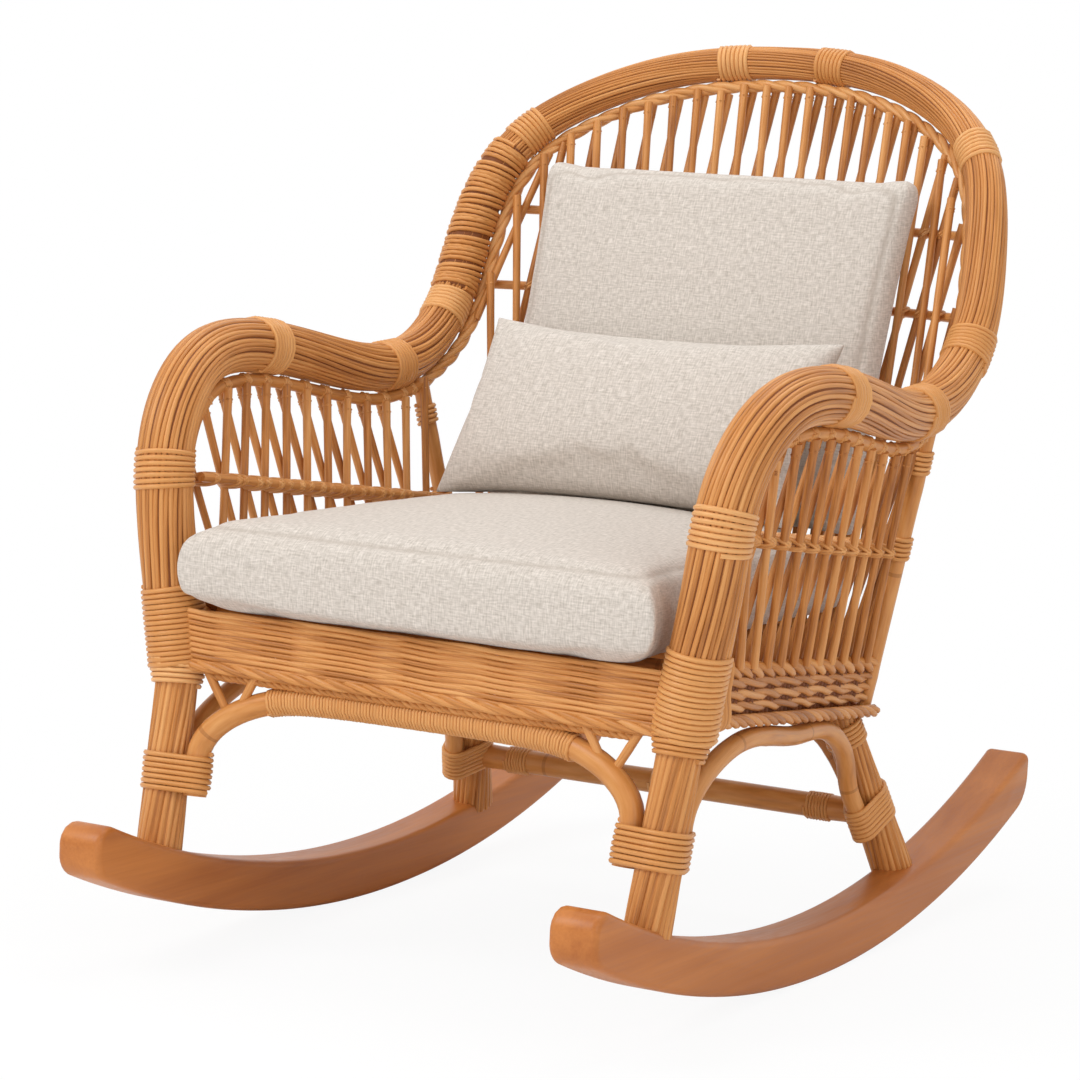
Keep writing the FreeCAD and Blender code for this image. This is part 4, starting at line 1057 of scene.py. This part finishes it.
class RATTAN_OT_panels(bpy.types.Operator):
    """Crossing reeds of the sides and the back, with the rings at their heads and the knots at the girts"""

    bl_idname = "rattan.panels"
    bl_label = "Reed panels"

    def execute(self, context):
        chance = np.random.default_rng(31)
        knots = []
        for name, nodes, facing, knots_of in (
            ("side_reeds", pair("side_lattice"), SIDE_OUT, self.side_knots),
            ("back_reeds", ["back_lattice"], np.array((0, 1.0, -BACK_LEAN)), self.back_knots),
        ):
            bars = [bar for node in nodes for bar in bars_of(node)]
            runs = [self.bent(foot, head, facing, chance.normal(0, 0.0011)) for foot, head in bars]
            lay(name, "cane", "reed", "reed", runs, *nodes, Spacing=0.012, Sides=8, Seed=31, Knot_swelling=0.07)
            heads = []
            for foot, head in bars:
                way = unit(foot - head)
                heads.append((straight(head + way * 0.010, head + way * 0.014, 0.002), 0.0042))
            lay(
                name + "_heads", "wound", "reed", "reed", heads,
                Pitch=0.0027, Strand_radius=0.0015, Spacing=0.0006, Sides=5, Seed=32,
            )
            knots += knots_of(bars)
        lay(
            "girt_knots", "cane", "binding_reed", "binding_reed", knots,
            Spacing=0.0022, Sides=5, Seed=33, Knot_swelling=0.0,
        )
        return {"FINISHED"}

    def bent(self, foot, head, facing, bow):
        """A reed a little thicker at its ends and bent a little to one side, on top of the sill."""
        line = straight(foot + unit(head - foot) * 0.005, head, 0.012)
        share = np.linspace(0, 1, len(line))
        aside = unit(np.cross(head - foot, facing))
        line = line + np.outer(np.sin(math.pi * share) * bow, aside)
        return line, 0.0041 + 0.0006 * (2 * share - 1) ** 2

    def side_knots(self, bars):
        """Crossed loops that tie the outer reeds of a side to its girt."""
        knots = []
        for foot, head in bars:
            turn = np.array((1.0 if foot[0] > 0 else -1.0, 1.0, 1.0))
            girt, reed = meeting(GIRT_FRONT * turn, GIRT_REAR * turn, foot, head)
            if np.dot(reed - girt, SIDE_OUT * turn) > 0.015 and foot[2] < reed[2] < head[2]:
                knots += knot(girt, reed, (GIRT_REAR - GIRT_FRONT) * turn, 0.0017, (KNOT_TILT, -KNOT_TILT))
        return knots

    def back_knots(self, bars):
        """Loops that tie the rear reeds of the back to its girts."""
        knots = []
        for z, half_width in BACK_GIRTS:
            for number, (foot, head) in enumerate(bars):
                if foot[2] + 0.03 < z < head[2] - 0.03:
                    reed = at_height(foot, head, z)
                    panel = back_y(reed[0], z)
                    if reed[1] > panel and abs(reed[0]) < half_width - 0.008:
                        girt = np.array((reed[0], panel + GIRT_SETBACK, z))
                        tilt = KNOT_TILT if number % 2 else -KNOT_TILT
                        knots += knot(girt, reed, np.array((1.0, 0, 0)), 0.0016, (tilt,))
        return knots


class RATTAN_OT_apron(bpy.types.Operator):
    """Woven rows of the apron over the twisted rope along its lower edge"""

    bl_idname = "rattan.apron"
    bl_label = "Apron"

    def execute(self, context):
        pitch = context.scene.rattan_sizes.weave_pitch
        rows = [(across((0.264, -0.3465, 0.2925 + 0.0054 * number)), 0.0011) for number in range(10)]
        lay(
            "apron_front_rows", "wound", "reed", "reed", rows, "apron_front",
            Pitch=0.17, Strands=2, Strand_radius=0.0027, Wander=0.5, Wander_length=0.11, Spacing=0.008,
            Sides=7, Seed=41,
        )
        # The stakes are coloured in painted shade, seen between the woven rows.
        lay("apron_stakes", "cane", "core", "reed", self.stakes(), Sides=6, Knot_swelling=0.0)
        rows = both([(straight(*apron_side(drop, 0.003, 0.002)), 0.0024) for drop in (0.013, 0.0245, 0.036)])
        rows += [(between_posts(z), 0.0026) for z in (0.279, 0.2675)]
        lay(
            "apron_rows", "wound", "reed", "reed", rows, *pair("apron"), "apron_rear",
            Pitch=pitch, Strands=2, Strand_radius=0.0036, Wander=0.35, Wander_length=0.09, Spacing=pitch / 24,
            Sides=7, Seed=43,
        )
        ropes = [(across((0.264, -0.346, 0.288)), 0.0034)]
        ropes += both([(straight(SILL_FRONT + (0.005, 0.031, -0.0495), spot(252, 163, 241.5)), 0.0034)])
        ropes.append((between_posts(0.2535), 0.0034))
        lay(
            "apron_ropes", "wound", "rattan_pole", "reed", ropes,
            Pitch=0.086, Strands=4, Strand_radius=0.0035, Spacing=0.004, Sides=8, Seed=42,
        )
        lay(
            "apron_edge", "wound", "reed", "reed", [(across((0.236, -0.3405, 0.2795)), 0.0026)],
            Pitch=0.026, Strands=3, Strand_radius=0.0030, Spacing=0.002, Sides=7, Seed=44,
        )
        lay(
            "corner_straps", "cane", "reed", "binding_reed", both(self.straps()),
            Spacing=0.004, Sides=6, Seed=45, Knot_swelling=0.0,
        )
        return {"FINISHED"}

    def stakes(self):
        """Short canes that the side and rear rows are woven round."""
        stakes = []
        edges = [apron_side(drop, -0.001, -0.002) for drop in (0, 0.048)]
        for share in np.linspace(0.02, 0.98, 40):
            ends = [start + (end - start) * share for start, end in edges]
            stakes.append((straight(*ends, 0.012), 0.0056))
        stakes = both(stakes)
        for x in np.linspace(-0.222, 0.222, 40):
            heights = np.linspace(0.257, SILL_Z, 3)
            stakes.append((np.array([(x, back_y(x, z) - 0.004, z) for z in heights]), 0.0056))
        return stakes

    def straps(self):
        """Flat strap beside a front post, from the sill down to the rope."""
        path = ((-0.004, 0.004, 0.3505), (0.007, 0.0015, 0.3485), (0.0095, 0, 0.340), (0.0085, -0.003, 0.318))
        path += ((0.0115, -0.006, 0.300), (0.0105, -0.008, 0.289), (0.003, -0.009, 0.2835))
        straps = []
        for number in range(7):
            y = -0.289 + 0.0033 * number
            x = SILL_FRONT[0] + 0.003 - 0.092 * (y - SILL_FRONT[1])
            straps.append((line_of(fit([(x + out, y + back, z) for out, back, z in path]), step=0.004), 0.0021))
        return straps


class RATTAN_OT_legs(bpy.types.Operator):
    """Bundled legs with the bindings that tie the arches to them"""

    bl_idname = "rattan.legs"
    bl_label = "Legs"

    def execute(self, context):
        sizes = context.scene.rattan_sizes
        front = np.linspace(runner_top(FRONT_LEG_Y) - 0.004, 0.284, 20)
        rear = np.linspace(runner_top(REAR_LEG_Y) - 0.006, 0.300, 20)
        legs = [(standing(front_leg_at, front), front_leg_girth(front))]
        legs = both(legs + [(standing(rear_leg_at, rear), rear_leg_girth(rear))])
        core = [(line, girth * CORE_SHARE) for line, girth in legs]
        lay("leg_cores", "cane", "rattan_pole", "rattan_pole", core, Knot_swelling=0.0)
        nodes = pair("front_leg") + pair("rear_leg")
        lay(
            "leg_strands", "wound", "rattan_pole", "rattan_pole", legs, *nodes,
            Pitch=1.6, Strands=sizes.leg_strands, Strand_radius=0.0, Share_of_girth=0.137, Variation=0.15,
            Wander=0.03, Wander_length=0.21, Spacing=0.010, Sides=8, Seed=51,
        )
        front = [
            (front_leg_at(FRONT_TIE), front_leg_girth(FRONT_TIE) + 0.001),
            (FRONT_BESIDE[1], 0.0135),
            (SIDE_BESIDE[1], 0.0115),
        ]
        rear = [(rear_leg_at(REAR_TIE), rear_leg_girth(REAR_TIE) + 0.001), (REAR_BESIDE[1], 0.0115)]
        ties = [
            (wound_round(front, FRONT_HEAD - FRONT_FOOT, 0.038), 0.0027),
            (wound_round(rear, REAR_HEAD - REAR_FOOT, 0.036), 0.0027),
        ]
        lay(
            "leg_ties", "cane", "binding_reed", "binding_reed", both(ties), "leg_bindings",
            Spacing=0.005, Sides=6, Knot_swelling=0.0,
        )
        rear, front = np.linspace(0.207, 0.231, 8), np.linspace(0.264, 0.288, 8)
        collars = [
            (standing(rear_leg_at, rear), rear_leg_girth(rear) + 0.001),
            (standing(front_leg_at, front), np.linspace(0.0225, 0.0285, 8)),
        ]
        lay(
            "leg_collars", "wound", "binding_reed", "binding_reed", both(collars), *pair("rear_leg_collar"),
            Pitch=sizes.binding_pitch, Strand_radius=0.0026, Spacing=sizes.binding_pitch / 16, Seed=52,
        )
        return {"FINISHED"}


class RATTAN_OT_arches(bpy.types.Operator):
    """Arches and stretcher under the seat, with their wrapping, and the short reeds in the front corners"""

    bl_idname = "rattan.arches"
    bl_label = "Arches"

    def execute(self, context):
        stretcher = rear_leg_at(0.127)
        runs = [(line_of(FRONT_ARCH), 0.012), (line_of(REAR_ARCH), 0.010), (across(stretcher - REAR_INSET), 0.013)]
        runs += both([(line_of(SIDE_ARCH), 0.010)])
        nodes = "front_arch", *pair("side_arch"), "rear_arch", "rear_stretcher"
        lay("arch_canes", "cane", "pole", "rattan_pole", runs, *nodes, Seed=61, Sides=14)
        line = line_of(FRONT_ARCH, step=0.002)
        wraps = [(line[np.abs(line[:, 0]) < 0.172], 0.0128)]
        end = stretcher[0] - 0.062
        for x, width in ((0, 0.030), (end, 0.026), (-end, 0.026)):
            start = np.array((x - width / 2, stretcher[1], stretcher[2]))
            wraps.append((straight(start, start + (width, 0, 0), 0.004), 0.0138))
        lay(
            "arch_wraps", "wound", "binding_reed", "binding_reed", wraps, "front_arch_wrap", "stretcher_bindings",
            Pitch=0.0036, Strand_radius=0.0020, Spacing=0.0004, Sides=5, Seed=62,
        )
        reeds = [(straight(foot, head), 0.0045) for foot, head in bars_of("corner_reeds")]
        lay("corner_braces", "cane", "reed", "reed", reeds, "corner_reeds", Seed=63, Sides=8)
        return {"FINISHED"}


class RATTAN_OT_seat_frame(bpy.types.Operator):
    """Poles of the seat frame and the cross poles that carry the cushion"""

    bl_idname = "rattan.seat_frame"
    bl_label = "Seat frame"

    def execute(self, context):
        front, rear = SEAT_FRONT - (0.034, 0, 0), SEAT_REAR - (0.008, 0, 0)
        poles = [(across(front), SEAT_GIRTH), (across(rear), SEAT_GIRTH)]
        poles += both([(straight(SEAT_SIDE_FRONT + unit(SEAT_SIDE) * 0.02, SEAT_SIDE_REAR), SEAT_GIRTH)])
        nodes = "seat_rail_front", *pair("seat_rail"), "seat_rail_rear"
        lay("seat_poles", "cane", "pole", "rattan_pole", poles, *nodes, Seed=71)
        shares = [(number + 0.6) / 7.3 for number in range(7)]
        slats = [(across(SEAT_SIDE_FRONT + SEAT_SIDE * share + (0.006, 0, 0.018)), 0.008) for share in shares]
        lay("seat_cross_poles", "cane", "pole", "rattan_pole", slats, "seat_slats", Seed=72)
        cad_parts["leg_dowels"].data.materials.clear()
        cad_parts["leg_dowels"].data.materials.append(finishes()["rocker_wood"])
        return {"FINISHED"}


class RATTAN_OT_rockers(bpy.types.Operator):
    """Two curved wooden runners with rounded edges"""

    bl_idname = "rattan.rockers"
    bl_label = "Rockers"

    def execute(self, context):
        for side, middle in zip(SIDES, (RUNNER_MIDDLE, -RUNNER_MIDDLE)):
            mesh = runner_mesh("runner_" + side, middle, context.scene.rattan_sizes.runner_edge)
            mesh.materials.append(finishes()["rocker_wood"])
            put(link("runner_" + side, mesh), "rocker_wood", "rocker_" + side)
        return {"FINISHED"}


class RATTAN_OT_cushions(bpy.types.Operator):
    """Boxed seat cushion, boxed back cushion and knife-edged lumbar pillow in linen"""

    bl_idname = "rattan.cushions"
    bl_label = "Cushions"

    def execute(self, context):
        depth = context.scene.rattan_sizes.seam_depth
        self.seat(depth)
        self.back(depth)
        self.pillow(depth)
        return {"FINISHED"}

    def seat(self, depth):
        """A cushion with a full top, its front edge hanging down a little in the middle."""
        piece = filled_cushion("seat_linen", "seat_cushion", 0.0055, 0.009)
        low, high = (np.array(corner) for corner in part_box("seat_cushion"))
        x, y, z = fitted_to(places_of(piece.data), low, high).T
        base = low[2] - 0.0106 * (y - high[1])
        z = np.maximum(z, base)
        rise = np.interp(y, (low[1], -0.2, -0.06, 0.02, 0.06, 0.10), (1.10, 1.14, 1.16, 1.17, 1.12, 1.0))
        z = base + (z - base) * rise
        ahead = np.clip((-0.352 - y) / 0.02, 0, 1)
        z -= 0.012 * ahead * np.clip(1 - (x / 0.25) ** 2, 0, 1) * np.clip(1 - (z - base) / 0.07, 0, 1)
        x = x * (1 + 0.05 * ahead)
        give_places(piece.data, np.column_stack((x, y, z)))
        seam_height, rounding = 0.083, 0.011
        top_seam = np.abs(z - base - seam_height)
        half = np.interp(y, (low[1], high[1]), (0.261, 0.227))
        corner = np.hypot(np.abs(x) - half + rounding, y - low[1] - rounding)
        corner = np.where((z > base + 0.006) & (z < base + seam_height), corner, 1.0)
        sew(piece, np.minimum(top_seam, corner), depth, 0.0030)
        dress_cushion(piece, "seat_cushion")

    def back(self, depth):
        piece = filled_cushion("back_linen", "back_cushion", 0.0050, 0.008)
        centre, axes = np.array((0, 0.1804, 0.4155)), lean_axes(17.5)
        target = (places_of(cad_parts["back_cushion"].data) - centre) @ axes.T
        places = fitted_to((places_of(piece.data) - centre) @ axes.T, target.min(axis=0), target.max(axis=0))
        give_places(piece.data, places @ axes + centre)
        seams = np.minimum(np.abs(places[:, 2] + 0.050), np.abs(places[:, 2] + 0.006))
        sew(piece, seams, depth, 0.0030)
        dress_cushion(piece, "back_cushion")

    def pillow(self, depth):
        centre, axes = np.array((0, 0.078, 0.530)), lean_axes(33)
        target = (places_of(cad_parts["lumbar_pillow"].data) - centre) @ axes.T
        low, high = target.min(axis=0), target.max(axis=0)
        piece = link("pillow_linen", sewn_sheets("pillow_linen", (high - low) / 2 * (1.0, 1.0, 0.8)))
        places = blow_up(piece, 0.012)
        give_places(piece.data, fitted_to(places, low, high) @ axes + centre)
        refine(piece)
        depths = ((places_of(piece.data) - centre) @ axes.T)[:, 2]
        sew(piece, np.abs(depths - (low[2] + high[2]) / 2), depth * 0.5, 0.0026)
        dress_cushion(piece, "lumbar_pillow")


WHITE = (1, 1, 1, 1)
FLOOR_REACH = 14.0
LIT_PLACE = Vector((0, 0, 0.45))
LAMPS = (
    ("Key", (-1.6, -2.4, 3.0), 1.8, 62.0),
    ("Fill", (2.8, -1.6, 1.8), 1.6, 16.0),
    ("Top", (0.2, 0.6, 3.4), 2.2, 34.0),
    ("Low", (0.5, -3.0, 0.5), 1.4, 7.0),
)
SENSOR_WIDTH, LENS = 36.0, 116.67
AZIMUTH, ELEVATION, ROLL = (math.radians(angle) for angle in (29.293, 6.923, 2.686))
CAMERA_PLACE = (1.70551, -3.15695, 0.84198)


class RATTAN_OT_stage(bpy.types.Operator):
    """Pale floor, soft light and the camera"""

    bl_idname = "rattan.stage"
    bl_label = "Stage"

    def execute(self, context):
        self.floor()
        self.light(context.scene)
        self.camera(context.scene)
        return {"FINISHED"}

    def floor(self):
        """A floor that takes the chair's shadow and fades to white away from it."""
        mesh = bpy.data.meshes.new("floor")
        corners = [(x * FLOOR_REACH, y * FLOOR_REACH, 0) for x, y in ((-1, -1), (1, -1), (1, 1), (-1, 1))]
        mesh.from_pydata(corners, [], [(0, 1, 2, 3)])
        finish, tree, shader = new_finish("Pale floor")
        feed(tree, shader, {"Base Color": (0.93, 0.93, 0.93, 1), "Roughness": 0.9, "Specular IOR Level": 0.0})
        distance = made(tree, "ShaderNodeVectorMath", {0: object_place(tree)}, "Value", operation="LENGTH")
        fade = spread(tree, distance, 0.92, 1.0, 0.6, 1.3)
        seen = made(tree, "ShaderNodeLightPath", None, "Is Camera Ray")
        white = made(tree, "ShaderNodeEmission", {"Color": WHITE, "Strength": 1.0})
        links = {0: calc(tree, "MULTIPLY", fade, seen), 1: shader.outputs[0], 2: white}
        feed(tree, tree.nodes["Material Output"], {0: made(tree, "ShaderNodeMixShader", links)})
        mesh.materials.append(finish)
        link("floor", mesh)

    def light(self, scene):
        world = bpy.data.worlds.new("Studio")
        scene.world = world
        world.use_nodes = True
        tree = world.node_tree
        rays = add(tree, "ShaderNodeLightPath").outputs
        seen = calc(tree, "MAXIMUM", rays["Is Glossy Ray"], rays["Is Transmission Ray"])
        seen = calc(tree, "MAXIMUM", rays["Is Camera Ray"], seen)
        strength = spread(tree, seen, 0.62, 1.0, 0.0, 1.0)
        feed(tree, tree.nodes["Background"], {"Color": WHITE, "Strength": strength})
        for name, place, size, power in LAMPS:
            lamp = bpy.data.lights.new(name, "AREA")
            lamp.size = size
            lamp.energy = power
            holder = link(name, lamp)
            holder.location = place
            holder.rotation_euler = (LIT_PLACE - Vector(place)).to_track_quat("-Z", "Y").to_euler()
        scene.view_settings.view_transform = "Standard"

    def camera(self, scene):
        lens = bpy.data.cameras.new("Camera")
        lens.sensor_width = SENSOR_WIDTH
        lens.lens = LENS
        level = math.cos(ELEVATION)
        back = Vector((math.sin(AZIMUTH) * level, -math.cos(AZIMUTH) * level, math.sin(ELEVATION)))
        right = Vector((math.cos(AZIMUTH), math.sin(AZIMUTH), 0))
        up = back.cross(right)
        turned = right * math.cos(ROLL) + up * math.sin(ROLL)
        upright = up * math.cos(ROLL) - right * math.sin(ROLL)
        holder = link("Camera", lens)
        basis = Matrix((turned, upright, back)).transposed().to_4x4()
        holder.matrix_world = Matrix.Translation(CAMERA_PLACE) @ basis
        scene.camera = holder


class RATTAN_PT_chair(bpy.types.Panel):
    """Sizes, colours and pieces of the chair"""

    bl_idname = "RATTAN_PT_chair"
    bl_label = "Rattan chair"
    bl_space_type = "VIEW_3D"
    bl_region_type = "UI"
    bl_category = "Rattan chair"

    def draw(self, context):
        for group in (context.scene.rattan_sizes, context.scene.rattan_tones):
            box = self.layout.box()
            for name in group.__annotations__:
                box.prop(group, name)
        for piece in PIECES:
            self.layout.operator(piece.bl_idname)


PIECES = (
    RATTAN_OT_stage,
    RATTAN_OT_rails,
    RATTAN_OT_liners,
    RATTAN_OT_posts,
    RATTAN_OT_panels,
    RATTAN_OT_apron,
    RATTAN_OT_legs,
    RATTAN_OT_arches,
    RATTAN_OT_seat_frame,
    RATTAN_OT_rockers,
    RATTAN_OT_cushions,
)
CLASSES = (RattanSizes, RattanTones, *PIECES, RATTAN_PT_chair)


def register():
    for kind in CLASSES:
        bpy.utils.register_class(kind)
    bpy.types.Scene.rattan_sizes = bpy.props.PointerProperty(type=RattanSizes)
    bpy.types.Scene.rattan_tones = bpy.props.PointerProperty(type=RattanTones)


def unregister():
    del bpy.types.Scene.rattan_tones
    del bpy.types.Scene.rattan_sizes
    for kind in reversed(CLASSES):
        bpy.utils.unregister_class(kind)


def main():
    register()
    for piece in PIECES:
        group, name = piece.bl_idname.split(".")
        getattr(getattr(bpy.ops, group), name)()


if __name__ == "__main__":
    main()
